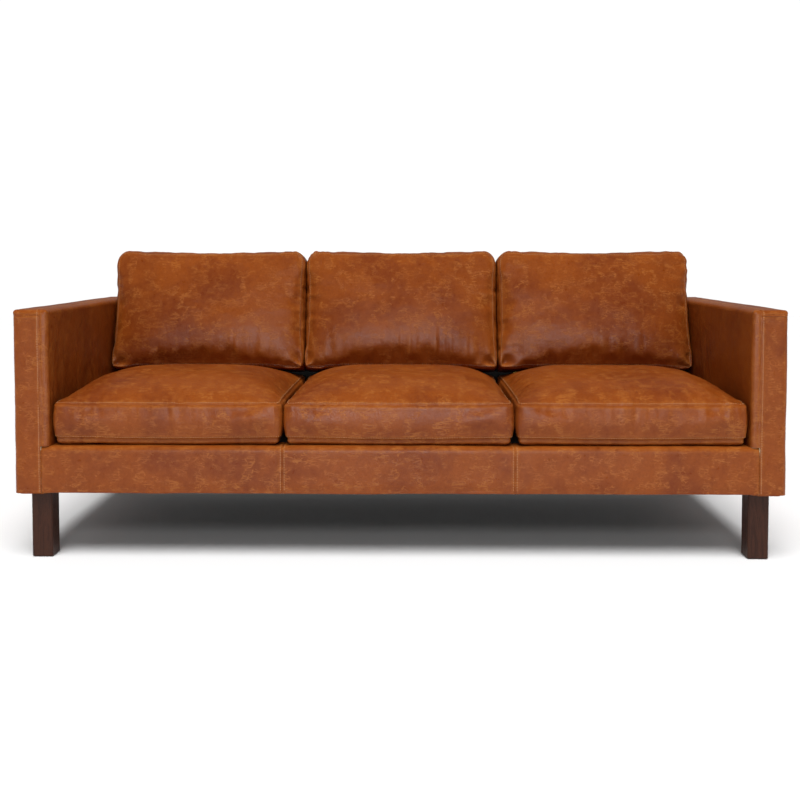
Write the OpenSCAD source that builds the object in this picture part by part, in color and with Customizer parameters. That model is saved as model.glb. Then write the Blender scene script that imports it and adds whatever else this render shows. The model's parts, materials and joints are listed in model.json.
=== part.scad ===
// Three-seat leather sofa with track arms and square wooden legs.
// Millimetres. +X to the sitter's left, the front faces -Y, +Z up, floor at Z = 0.
// "Left" and "right" are as seen by someone who stands in front of the sofa.

/* [Overall] */
// Width over both arms
sofa_w = 2130; // [1700:10:2600]
// Depth from the front of the arms to the outside back
sofa_d = 865; // [720:5:1050]
// Height of the arm tops above the floor
arm_h = 695; // [600:5:820]
// Height of the body's underside above the floor
leg_h = 185; // [120:5:205]
// Height of the back frame's top above the floor
back_h = 780; // [715:5:875]

/* [Coverings] */
// Thickness of the leather
leather_t = 1.5; // [1:0.1:2]
// Thickness of the black deck cloth
deck_cloth_t = 1.5; // [1:0.1:3]
// Thickness of the dust cloth under the body
dust_cloth_t = 0.8; // [0.5:0.1:1.4]
// Foam over the arms and the front rail
arm_foam_t = 12; // [8:1:16]
// Foam over the back frame
back_foam_t = 15; // [8:1:25]
// Width of the leather turned under the body
hem_w = 20; // [16:1:26]
// Radius of the padded edges of the arms and the front rail
edge_r = 14; // [6:1:18]

/* [Arms] */
// Thickness of an arm over its leather
arm_t = 98; // [90:1:140]
// Width of the leather strip down the front of an arm
strip_w = 75; // [50:1:80]
// Thickness of the boards on both sides of an arm frame
arm_board_t = 3; // [2:0.5:6]
// Depth of each arm post
arm_post_d = 45; // [30:1:60]
// Height of the arm's lower rail
arm_low_rail_h = 45; // [38:1:60]
// Height of the arm's upper rail
arm_top_rail_h = 30; // [20:1:45]

/* [Seat frame] */
// Height of the seat rails' top above the body's underside
rail_top_h = 106; // [85:1:112]
// Height of the deck above the body's underside
deck_h = 130; // [128:1:160]
// Thickness of the front and rear rails
rail_t = 30; // [22:1:40]
// Thickness of the cross rails
cross_rail_t = 25; // [18:1:35]
// Gap under the cross rails for the dust cloth's staples
cross_rail_lift = 10; // [4:1:20]
// Length of the corner blocks along each rail
corner_block_l = 80; // [50:1:110]
// Depth of the padded roll on top of the front rail
roll_d = 72; // [60:1:90]

/* [Springs] */
// Springs under each seat cushion
springs_per_seat = 4; // [3:1:5]
// Diameter of the spring wire
wire_d = 4; // [3:0.5:5]
// Width of a spring across its loops
spring_w = 54; // [46:1:60]
// Distance between neighbouring rungs of a spring, before it is stretched to its rails
rung_pitch = 38; // [32:1:42]
// Diameter of the tie wires that cross under the springs
tie_d = 3; // [2:0.5:4]
// Thickness of a spring clip's metal
clip_t = 1.5; // [1:0.1:2.5]
// Width of a spring clip
clip_w = 18; // [12:1:20]
// Gap between a spring clip and the sides of the wire in it
clip_play = 0.5; // [0.3:0.1:1]

/* [Back] */
// Lean of the back from upright, in degrees
back_lean = 12.5; // [8:0.5:18]
// Thickness of the back at its top
back_top_t = 80; // [65:1:120]
// Thickness of each back post
back_post_t = 30; // [22:1:40]
// Height of the back's upper rail
back_rail_h = 45; // [30:1:60]
// How far the outer leather reaches down inside the back
back_facing_l = 100; // [60:5:150]
// Width of the webbing straps
strap_w = 50; // [40:1:70]
// Thickness of the webbing straps
strap_t = 2; // [1.5:0.1:3]
// Number of webbing straps
strap_count = 5; // [3:1:6]

/* [Seat cushions] */
// Gap beside each cushion
cushion_gap = 4; // [2:0.5:10]
// How far the cushions stand behind the front of the arms
seat_setback = 4.5; // [2:0.5:30]
// Gap between the seat cushions and the inside back
seat_rear_gap = 6; // [4:0.5:20]
// Height of a seat cushion's border
seat_border_h = 112; // [90:1:140]
// Height of a seat cushion's crown above its border
seat_crown_h = 68; // [30:1:90]
// Radius of the seat cushions' upright corners
seat_corner_r = 32; // [10:1:60]

/* [Back cushions] */
// Height of a back cushion along its lean
back_cushion_h = 400; // [320:5:520]
// Thickness of a back cushion at its border
back_cushion_t = 160; // [110:1:200]
// Crown of a back cushion's front above its border
back_crown_h = 40; // [15:1:70]
// Radius of the back cushions' corners
back_corner_r = 32; // [10:1:60]

/* [Zips] */
// Distance from a zip's end to the end of its cushion
zip_inset = 60; // [40:1:90]
// Width of a zip's tapes
zip_w = 24; // [18:1:30]
// Width of a zip's teeth
zip_teeth_w = 5; // [4:0.5:6]
// Length of a zip slider
slider_l = 14; // [10:1:18]
// Gap between a zip slider and the zip
slider_gap = 0.5; // [0.4:0.1:0.8]

/* [Legs] */
// Side of the square legs
leg_w = 57; // [45:1:70]
// Chamfer along the legs' edges
leg_chamfer = 3; // [1:0.5:6]
// Distance from the body's inner arm face to the leg's inner face
leg_inset_x = 2; // [0:0.5:20]
// Distance from the front or rear of the arm to the leg
leg_inset_y = 20.5; // [20:0.5:60]
// Diameter of the glides
glide_d = 30; // [20:1:40]
// Thickness of the glides
glide_t = 3; // [2:0.5:6]

/* [Fasteners] */
// Thread diameter of the hanger bolts and the arm bolts
bolt_d = 8; // [6:1:10]
// Diameter of the arm bolts' heads
bolt_head_d = 18; // [14:1:22]
// Thickness of the arm bolts' heads
bolt_head_t = 4; // [3:0.5:6]
// Clearance of the bolt holes on the diameter
hole_play = 1; // [0.5:0.1:2]
// Depth of the hanger bolts in the legs
hanger_down = 35; // [25:1:50]
// Height of the hanger bolts above the legs
hanger_up = 30; // [20:1:36]
// Outer diameter of a T-nut's barrel
tnut_d = 11; // [10:0.5:14]
// Length of a T-nut's barrel
tnut_l = 11; // [8:1:15]
// Diameter of a T-nut's flange
tnut_flange_d = 22; // [18:1:26]
// Thickness of a T-nut's flange
tnut_flange_t = 2; // [1:0.5:3]

/* [Hidden] */

// Colours
LEATHER = [0.58, 0.33, 0.17];
LEG_WOOD = [0.16, 0.10, 0.07];
FRAME_WOOD = [0.78, 0.64, 0.44];
BOARD = [0.62, 0.52, 0.38];
FOAM = [0.93, 0.89, 0.74];
LINING = [0.09, 0.09, 0.09];
STEEL = [0.62, 0.63, 0.65];
WEBBING = [0.70, 0.62, 0.45];
BRASS = [0.72, 0.58, 0.30];
GLIDE = [0.25, 0.25, 0.25];

// A little extra for cuts that pass right through
cut = 1;
// Facets of the true circles
$fn = 48;
// Facets of the long crown arcs, which are parts of very large circles
crown_fn = 360;

// Body planes
half_w = sofa_w / 2;
front_y = -sofa_d / 2;
rear_y = sofa_d / 2;
arm_in_x = half_w - arm_t;
arm_mid_x = half_w - arm_t / 2;
strip_x = half_w - strip_w;
deck_z = leg_h + deck_h;
rail_z0 = leg_h + leather_t;
rail_z1 = leg_h + rail_top_h;

// Arm frame, inside the foam
pad_t = leather_t + arm_foam_t;
arm_frame_w = arm_t - 2 * pad_t;
arm_wood_w = arm_frame_w - 2 * arm_board_t;
arm_frame_l = sofa_d - 2 * pad_t;
arm_frame_z1 = arm_h - pad_t;

// Seat frame
front_rail_y = front_y + pad_t;
back_tan = tan(back_lean);
inside_y = rear_y - back_top_t - (back_h - deck_z) * back_tan;
back_depth_t = leather_t + back_foam_t + strap_t;
post_front_y = inside_y - (deck_z - rail_z1) * back_tan + back_depth_t / cos(back_lean);
rear_rail_y1 = post_front_y + rail_t / 2;
rear_rail_y0 = rear_rail_y1 - rail_t;
cross_y0 = front_rail_y + rail_t;
end_rail_x = arm_in_x - cross_rail_t;
roll_y = front_y + roll_d;

// Gap between the deck and the inside back
deck_gap = 2;

// Springs, stretched between the middles of the front and the rear rail to a tenth of a millimetre
rail_span = rear_rail_y0 - front_rail_y;
rung_gaps = round(rail_span / rung_pitch);
rung_step = floor(10 * rail_span / rung_gaps) / 10;
spring_y0 = front_rail_y + rail_t / 2 + (rail_span - rung_gaps * rung_step) / 2;
spring_y1 = spring_y0 + rung_gaps * rung_step;
wire_z = rail_z1 + tie_d + wire_d / 2;
// Half the length of a rung's straight run, and how far its bends have turned away at a clip's sides
bend_x = spring_w / 2 - wire_d / 2 - rung_step / 2;
past_bend = max(0, clip_w / 2 - bend_x);
bend_rise = rung_step / 2 - sqrt(pow(rung_step / 2, 2) - pow(past_bend, 2));
clip_slot = wire_d + 2 * (bend_rise + clip_play);
// How far a clip's foot reaches past its loop, before and behind
clip_foot = 1.5;
pad_z0 = wire_z + wire_d / 2 + clip_t;
deck_rear_y = inside_y - (deck_z - pad_z0) * back_tan - deck_gap;

// Back
back_half_w = arm_in_x - leather_t;
back_face_l = (back_h - deck_z) / cos(back_lean);
// Top of the back frame's wood, below the bend of the covering
frame_top_z = back_h - max(pad_t, edge_r);
wood_rear_y = rear_y - leather_t;
// Gap between the inside back's cloth and the deck
hem_gap = 0.5;
// Gap that keeps the back's foam off the leaning faces around it
foam_gap = 0.02;

// Cushions, three in a row
cushion_w = (2 * arm_in_x - 4 * cushion_gap) / 3;
cushion_step = cushion_w + cushion_gap;
LEFT = -cushion_step;
MIDDLE = 0;
RIGHT = cushion_step;
rest_gap = 0.3;
seat_z = deck_z + rest_gap;
seat_y0 = front_y + seat_setback;
seat_y1 = inside_y - seat_rear_gap;
seat_l = seat_y1 - seat_y0;
seat_mid_y = (seat_y0 + seat_y1) / 2;
zip_l = cushion_w - 2 * zip_inset;

// The back cushions lean on the inside back and stand just above the seat cushions' crown.
// Their place is found in the back's own frame: v runs back through the cushion, u up along it.
crown_r = arc_r(seat_l, seat_crown_h);
crown_dy = seat_mid_y - inside_y;
crown_dz = seat_z + seat_border_h + seat_crown_h - crown_r - deck_z;
crown_v = crown_dy * cos(back_lean) - crown_dz * sin(back_lean);
crown_u = crown_dy * sin(back_lean) + crown_dz * cos(back_lean);
stack_gap = 1;
back_cushion_v1 = -stack_gap;
back_cushion_v0 = back_cushion_v1 - back_cushion_t;
past_crown = max(0, back_cushion_v0 - crown_v);
back_cushion_u0 = crown_u + sqrt(pow(crown_r + stack_gap, 2) - pow(past_crown, 2));
back_zip_v = back_cushion_v1 - 2 * zip_w;

// Legs and fasteners
leg_x = arm_in_x + leg_inset_x + leg_w / 2;
leg_y = sofa_d / 2 - leg_inset_y - leg_w / 2;
bolt_z = rail_z0 + arm_low_rail_h / 2;
bolt_margin = 60;
// How far the arm bolts end short of the T-nuts' flanges
bolt_short = 3;
// Nails that hold the glides
nail_d = 3;
nail_l = 18;

// Zip teeth, and the slider's walls and pull
teeth_h = 1;
slider_wall = 2;
slider_t = teeth_h + slider_wall;
pull_w = 7;
pull_l = 22;
pull_t = 1.4;
bolt_ys = [
    cross_y0 + bolt_margin + corner_block_l,
    (cross_y0 + rear_rail_y0) / 2,
    rear_rail_y0 - bolt_margin - corner_block_l
];
arm_bolt_x1 = half_w - pad_t - arm_board_t - tnut_flange_t - bolt_short;

// Radius of the arc with this chord and this rise
function arc_r(chord, rise) = (chord * chord / 4 + rise * rise) / (2 * rise);

// Points of an arc about a centre, from one angle to another
function arc(c, r, a0, a1, n = 6) =
    [for (i = [0 : n]) c + r * [cos(a0 + (a1 - a0) * i / n), sin(a0 + (a1 - a0) * i / n)]];

// A rectangle with four round corners, centred
module round_rect(w, d, r) {
    square([w - 2 * r, d], center = true);
    square([w, d - 2 * r], center = true);
    for (x = [-1, 1], y = [-1, 1]) {
        translate([x * (w / 2 - r), y * (d / 2 - r)]) circle(r = r);
    }
}

// A rectangle that stands on y = 0, with its two upper corners round
module arch_rect(w, h, r) {
    translate([-w / 2, 0]) square([w, h - r]);
    translate([r - w / 2, 0]) square([w - 2 * r, h]);
    for (x = [-1, 1]) {
        translate([x * (w / 2 - r), h - r]) circle(r = r);
    }
}

// A YZ outline drawn out along X, from -half to +half
module along_x(half) {
    translate([-half, 0, 0]) rotate([90, 0, 90]) linear_extrude(height = 2 * half) children();
}

// A straight round bar along X, centred
module bar_x(d, l) {
    rotate([0, 90, 0]) cylinder(d = d, h = l, center = true);
}

// Puts what is drawn for the right arm, with the arm's middle at x = 0, on either side
module at_arm(side) {
    mirror([side < 0 ? 1 : 0, 0, 0]) translate([arm_mid_x, 0, 0]) children();
}

// The arm's padded block, sunk by a depth below the leather's surface
module arm_block(depth) {
    w = arm_t - 2 * depth;
    l = sofa_d - 2 * depth;
    h = arm_h - leg_h - 2 * depth;
    r = edge_r - depth;
    translate([0, 0, leg_h + depth]) intersection() {
        linear_extrude(height = h) round_rect(w, l, r);
        rotate([90, 0, 0]) linear_extrude(height = l, center = true) arch_rect(w, h, r);
        rotate([90, 0, 90]) linear_extrude(height = w, center = true) arch_rect(l, h, r);
    }
}

// The front rail's covering laps onto the arm's front, up to the strip's seam
module arm_front_notch() {
    translate([-arm_t / 2 - cut, front_y - cut, leg_h - cut])
        cube([arm_t - strip_w + cut, pad_t + cut, deck_h + cut]);
}

// Holes for the arm bolts, in the arm's own frame
module arm_bolt_holes(d) {
    for (y = bolt_ys) {
        translate([-arm_t / 2, y, bolt_z]) bar_x(d, arm_t - pad_t);
    }
}

// Seats for the T-nuts that the arm bolts run into, pressed in from the outer side
module arm_tnut_seats() {
    for (y = bolt_ys) {
        translate([arm_wood_w / 2, y, bolt_z]) rotate([0, -90, 0]) tnut_blank();
    }
}

// Seats for the T-nuts and the hanger bolts over both legs
module leg_tnut_seats() {
    for (y = [-leg_y, leg_y]) {
        translate([leg_x - arm_mid_x, y, rail_z0]) {
            tnut_blank();
            cylinder(d = bolt_d + hole_play, h = hanger_up);
        }
    }
}

// A T-nut without its thread, its flange at z = 0
module tnut_blank() {
    cylinder(d = tnut_flange_d, h = tnut_flange_t);
    cylinder(d = tnut_d, h = tnut_flange_t + tnut_l);
}

module tnut() {
    difference() {
        tnut_blank();
        translate([0, 0, -cut]) cylinder(d = bolt_d, h = tnut_flange_t + tnut_l + 2 * cut);
    }
}

module arm_posts(side) {
    z0 = rail_z0 + arm_low_rail_h;
    h = arm_frame_z1 - arm_top_rail_h - z0;
    end_y = (arm_frame_l - arm_post_d) / 2;
    color(FRAME_WOOD) at_arm(side) {
        for (y = [-end_y, 0, end_y]) {
            translate([-arm_wood_w / 2, y - arm_post_d / 2, z0]) cube([arm_wood_w, arm_post_d, h]);
        }
    }
}

module arm_rails(side) {
    color(FRAME_WOOD) at_arm(side) {
        difference() {
            translate([-arm_wood_w / 2, -arm_frame_l / 2, rail_z0])
                cube([arm_wood_w, arm_frame_l, arm_low_rail_h]);
            arm_bolt_holes(bolt_d + hole_play);
            arm_tnut_seats();
            leg_tnut_seats();
            for (y = bolt_ys) {
                translate([0, y, bolt_z]) bar_x(bolt_d + hole_play, arm_wood_w);
            }
        }
        translate([-arm_wood_w / 2, -arm_frame_l / 2, arm_frame_z1 - arm_top_rail_h])
            cube([arm_wood_w, arm_frame_l, arm_top_rail_h]);
    }
}

module arm_boards(side) {
    h = arm_frame_z1 - rail_z0;
    color(BOARD) at_arm(side) difference() {
        for (x = [-arm_frame_w / 2, arm_frame_w / 2 - arm_board_t]) {
            translate([x, -arm_frame_l / 2, rail_z0]) cube([arm_board_t, arm_frame_l, h]);
        }
        arm_bolt_holes(bolt_d + hole_play);
    }
}

module arm_padding(side) {
    color(FOAM) at_arm(side) difference() {
        arm_block(leather_t);
        translate([-arm_frame_w / 2, -arm_frame_l / 2, rail_z0 - cut])
            cube([arm_frame_w, arm_frame_l, arm_frame_z1 - rail_z0 + cut]);
        arm_front_notch();
        arm_bolt_holes(bolt_d + hole_play);
    }
}

module arm_cover(side) {
    color(LEATHER) at_arm(side) difference() {
        arm_block(0);
        arm_block(leather_t);
        translate([hem_w - arm_t / 2, front_y + hem_w, leg_h - cut])
            cube([arm_t - 2 * hem_w, sofa_d - 2 * hem_w, leather_t + 2 * cut]);
        arm_front_notch();
        arm_bolt_holes(bolt_d + hole_play);
    }
}

module front_rail() {
    color(FRAME_WOOD) translate([-arm_in_x, front_rail_y, rail_z0])
        cube([2 * arm_in_x, rail_t, rail_z1 - rail_z0]);
}

module rear_rail() {
    color(FRAME_WOOD) translate([-arm_in_x, rear_rail_y0, rail_z0])
        cube([2 * arm_in_x, rail_t, rail_z1 - rail_z0]);
}

// Middles of the four cross rails
function cross_xs() = [for (s = [-1, 1]) each [s * (arm_in_x - cross_rail_t / 2), s * cushion_step / 2]];

module cross_rails() {
    z0 = rail_z0 + cross_rail_lift;
    color(FRAME_WOOD) difference() {
        for (x = cross_xs()) {
            translate([x - cross_rail_t / 2, cross_y0, z0])
                cube([cross_rail_t, rear_rail_y0 - cross_y0, rail_z1 - z0]);
        }
        for (side = [-1, 1], y = bolt_ys) {
            translate([side * arm_in_x, y, bolt_z]) bar_x(bolt_d + hole_play, 3 * cross_rail_t);
        }
    }
}

module corner_blocks() {
    z0 = rail_z0 + cross_rail_lift;
    points = [[0, 0], [corner_block_l, 0], [0, corner_block_l]];
    color(FRAME_WOOD) {
        for (side = [0, 1], back = [0, 1]) {
            mirror([side, 0, 0])
                translate([-end_rail_x, back == 0 ? cross_y0 : rear_rail_y0, z0])
                mirror([0, back, 0]) linear_extrude(height = rail_z1 - z0) polygon(points);
        }
    }
}

// Middles of the springs
function spring_xs() = [
    for (c = [LEFT, MIDDLE, RIGHT], i = [0 : springs_per_seat - 1])
        c + cushion_w * ((i + 0.5) / springs_per_seat - 0.5)
];

// Half a ring of spring wire, open towards -X
module half_ring() {
    r = rung_step / 2;
    difference() {
        circle(r = r + wire_d / 2);
        circle(r = r - wire_d / 2);
        translate([-2 * r, -2 * r]) square([2 * r, 4 * r]);
    }
}

// One zigzag spring of square wire along Y: rungs along X, joined by half rings on alternate sides
module zigzag_spring() {
    linear_extrude(height = wire_d, center = true) {
        for (i = [0 : rung_gaps]) {
            translate([-bend_x, i * rung_step - wire_d / 2]) square([2 * bend_x, wire_d]);
        }
        for (i = [0 : rung_gaps - 1]) {
            mirror([i % 2, 0]) translate([bend_x, (i + 0.5) * rung_step]) half_ring();
        }
    }
}

module seat_springs() {
    color(STEEL) {
        for (x = spring_xs()) {
            translate([x, spring_y0, wire_z]) zigzag_spring();
        }
    }
}

// A clip is a foot on the rail and a loop over the spring's last rung
module spring_clips() {
    loop_d = clip_slot + 2 * clip_t;
    foot_d = loop_d + 2 * clip_foot;
    color(STEEL) {
        for (x = spring_xs(), y = [spring_y0, spring_y1]) {
            translate([x, y, rail_z1]) difference() {
                union() {
                    translate([-clip_w / 2, -loop_d / 2, 0]) cube([clip_w, loop_d, pad_z0 - rail_z1]);
                    translate([-clip_w / 2, -foot_d / 2, 0]) cube([clip_w, foot_d, clip_t]);
                }
                translate([0, 0, wire_z - rail_z1]) cube([2 * clip_w, clip_slot, wire_d], center = true);
            }
        }
    }
}

// Two straight wires under the springs, lying on the cross rails
module spring_ties() {
    color(STEEL) {
        for (k = [1, 2]) {
            translate([0, spring_y0 + (round(k * rung_gaps / 3) + 0.5) * rung_step, rail_z1 + tie_d / 2])
                bar_x(tie_d, 2 * arm_in_x);
        }
    }
}

module deck_pad() {
    color(FOAM) translate([-arm_in_x, roll_y, pad_z0])
        cube([2 * arm_in_x, deck_rear_y - roll_y, deck_z - deck_cloth_t - pad_z0]);
}

module deck_cover() {
    color(LINING) translate([-arm_in_x, roll_y, deck_z - deck_cloth_t])
        cube([2 * arm_in_x, deck_rear_y - roll_y, deck_cloth_t]);
}

// The front edge seen from the side, sunk by a depth below the leather's surface
module front_edge(depth) {
    r = edge_r - depth;
    y = front_y + depth;
    z = deck_z - depth;
    polygon(concat([[y, leg_h + depth]], arc([y + r, z - r], r, 180, 90), [[roll_y, z], [roll_y, leg_h + depth]]));
}

// Keeps the front rail's covering out of the arms behind their front layer
module clear_of_arms() {
    for (side = [0, 1]) {
        mirror([side, 0, 0]) translate([arm_in_x, front_rail_y, leg_h - cut])
            cube([arm_t, roll_d, deck_h + 2 * cut]);
    }
}

module front_rail_padding() {
    color(FOAM) difference() {
        along_x(strip_x) difference() {
            front_edge(leather_t);
            translate([front_rail_y, leg_h]) square([roll_d, pad_z0 - leg_h]);
        }
        clear_of_arms();
    }
}

module front_rail_cover() {
    color(LEATHER) difference() {
        along_x(strip_x) difference() {
            front_edge(0);
            front_edge(leather_t);
            translate([front_y + hem_w, leg_h - cut]) square([roll_d, pad_z0 - leg_h]);
            translate([roll_y - cut, leg_h - cut]) square([2 * cut, deck_h + cut - leather_t]);
        }
        clear_of_arms();
    }
}

// Cloth under the seat and under both arms, inside the leather's hems
module dust_cover() {
    y0 = front_y + hem_w;
    l = sofa_d - 2 * hem_w;
    color(LINING) translate([0, 0, rail_z0 - dust_cloth_t]) {
        translate([-arm_in_x, y0, 0]) cube([2 * arm_in_x, l, dust_cloth_t]);
        for (side = [0, 1]) {
            mirror([side, 0, 0]) difference() {
                translate([arm_in_x + hem_w, y0, 0]) cube([arm_t - 2 * hem_w, l, dust_cloth_t]);
                for (y = [-leg_y, leg_y]) {
                    translate([leg_x, y, -cut]) cylinder(d = bolt_d, h = dust_cloth_t + 2 * cut);
                }
            }
        }
    }
}

// Y of the plane that lies a depth behind the inside back's surface, at a height
function lean_y(depth, z) = inside_y + (z - deck_z) * back_tan + depth / cos(back_lean);

// The back seen from the side: leaning front, level top, upright rear
module back_side(depth, face_depth, top_depth, z0) {
    top = back_h - top_depth;
    rear = rear_y - depth;
    r = max(1, edge_r - top_depth);
    polygon(concat(
        [[lean_y(face_depth, z0), z0]],
        [[lean_y(face_depth, top - r), top - r], [lean_y(face_depth, top - r) + r, top]],
        arc([rear - r, top - r], r, 90, 0),
        [[rear, z0]]
    ));
}

// Middles of the four back posts
function post_xs() = [for (s = [-1, 1]) each [s * (back_half_w - back_post_t / 2), s * cushion_step / 2]];

module back_posts() {
    z1 = frame_top_z - back_rail_h;
    points = [
        [rear_rail_y1, rail_z0], [wood_rear_y, rail_z0], [wood_rear_y, z1],
        [lean_y(back_depth_t, z1), z1], [lean_y(back_depth_t, rail_z1), rail_z1], [rear_rail_y1, rail_z1]
    ];
    color(FRAME_WOOD) {
        for (x = post_xs()) {
            translate([x, 0, 0]) along_x(back_post_t / 2) polygon(points);
        }
    }
}

// The upper rail on the posts, and the lower rail in pieces between them
module back_rails() {
    z1 = frame_top_z;
    z0 = z1 - back_rail_h;
    points = [[lean_y(back_depth_t, z0), z0], [wood_rear_y, z0], [wood_rear_y, z1], [lean_y(back_depth_t, z1), z1]];
    color(FRAME_WOOD) {
        along_x(back_half_w) polygon(points);
        difference() {
            translate([-back_half_w, wood_rear_y - rail_t, rail_z0])
                cube([2 * back_half_w, rail_t, rail_z1 - rail_z0]);
            for (x = post_xs()) {
                translate([x - back_post_t / 2, wood_rear_y - rail_t - cut, rail_z0 - cut])
                    cube([back_post_t, rail_t + 2 * cut, rail_z1 - rail_z0 + 2 * cut]);
            }
        }
    }
}

// Puts what is drawn upright onto the leaning back: y = 0 is the inside back's surface
module on_back() {
    translate([0, inside_y, deck_z]) rotate([-back_lean, 0, 0]) children();
}

module back_webbing() {
    face_l = back_face_l - 2 * pad_t;
    step = (face_l - strap_w) / strap_count;
    color(WEBBING) on_back() {
        for (i = [0 : strap_count - 1]) {
            translate([-back_half_w, back_depth_t - strap_t, (i + 0.5) * step])
                cube([2 * back_half_w, strap_t, strap_w]);
        }
    }
}

module back_padding() {
    skin = leather_t + foam_gap;
    foam_face = leather_t + back_foam_t - foam_gap;
    color(FOAM) along_x(back_half_w) difference() {
        back_side(skin, skin, skin, deck_z);
        polygon([
            [lean_y(foam_face, deck_z - cut), deck_z - cut], [lean_y(foam_face, frame_top_z), frame_top_z],
            [rear_y, frame_top_z], [rear_y, deck_z - cut]
        ]);
    }
}

module inside_back_cover() {
    color(LINING) on_back() translate([-back_half_w, 0, hem_gap])
        cube([2 * back_half_w, leather_t, back_face_l - back_facing_l]);
}

// Closed over the rear, the top and the ends above the arms, and turned in at the front
module outside_back_cover() {
    cap_z0 = arm_h - hem_w;
    color(LEATHER) difference() {
        along_x(arm_in_x) back_side(0, 0, 0, leg_h);
        along_x(back_half_w) back_side(leather_t, leather_t, leather_t, leg_h + leather_t);
        along_x(arm_in_x + cut) intersection() {
            back_side(leather_t, leather_t, leather_t, leg_h + leather_t);
            square([2 * rear_y, cap_z0]);
        }
        along_x(arm_in_x + cut) translate([0, leg_h - cut]) square([rear_y - hem_w, deck_h + cut]);
        front_of_back(back_face_l - back_facing_l + hem_gap);
    }
}

// Everything in front of the inside back's padding, up to a length along the lean
module front_of_back(face_l) {
    on_back() translate([-arm_in_x - cut, -sofa_d / 2, -deck_z])
        cube([2 * (arm_in_x + cut), sofa_d / 2 + leather_t, deck_z + face_l]);
}

module leg(sx, sy) {
    s = leg_w / 2;
    c = leg_chamfer;
    color(LEG_WOOD) translate([sx * leg_x, sy * leg_y, 0]) difference() {
        translate([0, 0, glide_t]) linear_extrude(height = leg_h - glide_t)
            polygon([
                [s - c, -s], [s, c - s], [s, s - c], [s - c, s],
                [c - s, s], [-s, s - c], [-s, c - s], [c - s, -s]
            ]);
        translate([0, 0, leg_h - hanger_down]) cylinder(d = bolt_d, h = hanger_down + cut);
        cylinder(d = nail_d, h = nail_l);
    }
}

module leg_glides() {
    color(GLIDE) {
        for (sx = [-1, 1], sy = [-1, 1]) {
            translate([sx * leg_x, sy * leg_y, 0]) {
                cylinder(d = glide_d, h = glide_t);
                cylinder(d = nail_d, h = nail_l);
            }
        }
    }
}

module hanger_bolts() {
    color(STEEL) {
        for (sx = [-1, 1], sy = [-1, 1]) {
            translate([sx * leg_x, sy * leg_y, leg_h - hanger_down])
                cylinder(d = bolt_d, h = hanger_down + hanger_up);
        }
    }
}

module arm_bolts() {
    color(STEEL) {
        for (side = [0, 1], y = bolt_ys) {
            mirror([side, 0, 0]) translate([end_rail_x, y, bolt_z]) rotate([0, 90, 0]) {
                cylinder(d = bolt_d, h = arm_bolt_x1 - end_rail_x);
                translate([0, 0, -bolt_head_t]) cylinder(d = bolt_head_d, h = bolt_head_t);
            }
        }
    }
}

module t_nuts() {
    color(STEEL) {
        for (sx = [-1, 1], sy = [-1, 1]) {
            translate([sx * leg_x, sy * leg_y, rail_z0]) tnut();
        }
        for (side = [-1, 1], y = bolt_ys) {
            at_arm(side) translate([arm_wood_w / 2, y, bolt_z]) rotate([0, -90, 0]) tnut();
        }
    }
}

// What lies under a crown's arc, sunk by a depth below the leather's surface and wider than the cushion
module crown_outline(w, border, rise, depth) {
    r = arc_r(w, rise);
    intersection() {
        translate([-w / 2 - cut, -cut]) square([w + 2 * cut, border + rise + 2 * cut]);
        translate([0, border + rise - r]) circle(r = r - depth, $fn = crown_fn);
    }
}

// A cushion's solid, centred on x and y and standing on z = 0: round upright corners and a crowned top
module cushion_block(w, l, border, rise, corner_r, depth) {
    intersection() {
        translate([0, 0, depth]) linear_extrude(height = border + rise + cut)
            round_rect(w - 2 * depth, l - 2 * depth, corner_r - depth);
        rotate([90, 0, 0]) linear_extrude(height = l + 2 * cut, center = true)
            crown_outline(w, border, rise, depth);
        rotate([90, 0, 90]) linear_extrude(height = w + 2 * cut, center = true)
            crown_outline(l, border, rise, depth);
    }
}

// The slot that a zip's tapes close; its outer face is at y = 0 and looks to +Y
module zip_slot() {
    translate([-zip_l / 2, -leather_t, -zip_w / 2]) cube([zip_l, leather_t + cut, zip_w]);
}

// Tapes with the row of teeth along the middle
module zip_strip() {
    translate([-zip_l / 2, -leather_t, -zip_w / 2]) cube([zip_l, leather_t, zip_w]);
    translate([-zip_l / 2, 0, -zip_teeth_w / 2]) cube([zip_l, teeth_h, zip_teeth_w]);
}

// Slider at the closed end of its zip, with a channel over the teeth and a flat pull
module zip_slider() {
    channel = zip_teeth_w + 2 * slider_gap;
    x0 = -zip_l / 2;
    translate([x0, slider_gap, 0]) difference() {
        translate([0, 0, -channel / 2 - slider_wall]) cube([slider_l, slider_t, channel + 2 * slider_wall]);
        translate([-cut, -cut, -channel / 2]) cube([slider_l + 2 * cut, teeth_h + cut, channel]);
    }
    translate([x0 + slider_l / 2, slider_gap + slider_t, 0]) rotate([-90, 0, 0]) difference() {
        union() {
            translate([0, -pull_w / 2, 0]) cube([pull_l - pull_w / 2, pull_w, pull_t]);
            cylinder(d = pull_w, h = pull_t);
            translate([pull_l - pull_w / 2, 0, 0]) cylinder(d = pull_w, h = pull_t);
        }
        translate([pull_l - pull_w / 2, 0, -cut]) cylinder(d = pull_w / 2, h = pull_t + 2 * cut);
    }
}

// A seat cushion's own frame
module at_seat(x) {
    translate([x, seat_mid_y, seat_z]) children();
}

module at_seat_zip(x) {
    at_seat(x) translate([0, seat_l / 2, seat_border_h / 2]) children();
}

module seat_block(depth) {
    cushion_block(cushion_w, seat_l, seat_border_h, seat_crown_h, seat_corner_r, depth);
}

module seat_cover(x) {
    color(LEATHER) difference() {
        at_seat(x) difference() {
            seat_block(0);
            seat_block(leather_t);
        }
        at_seat_zip(x) zip_slot();
    }
}

module seat_core(x) {
    color(FOAM) at_seat(x) seat_block(leather_t);
}

module seat_zip(x) {
    color(LINING) at_seat_zip(x) zip_strip();
}

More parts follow.
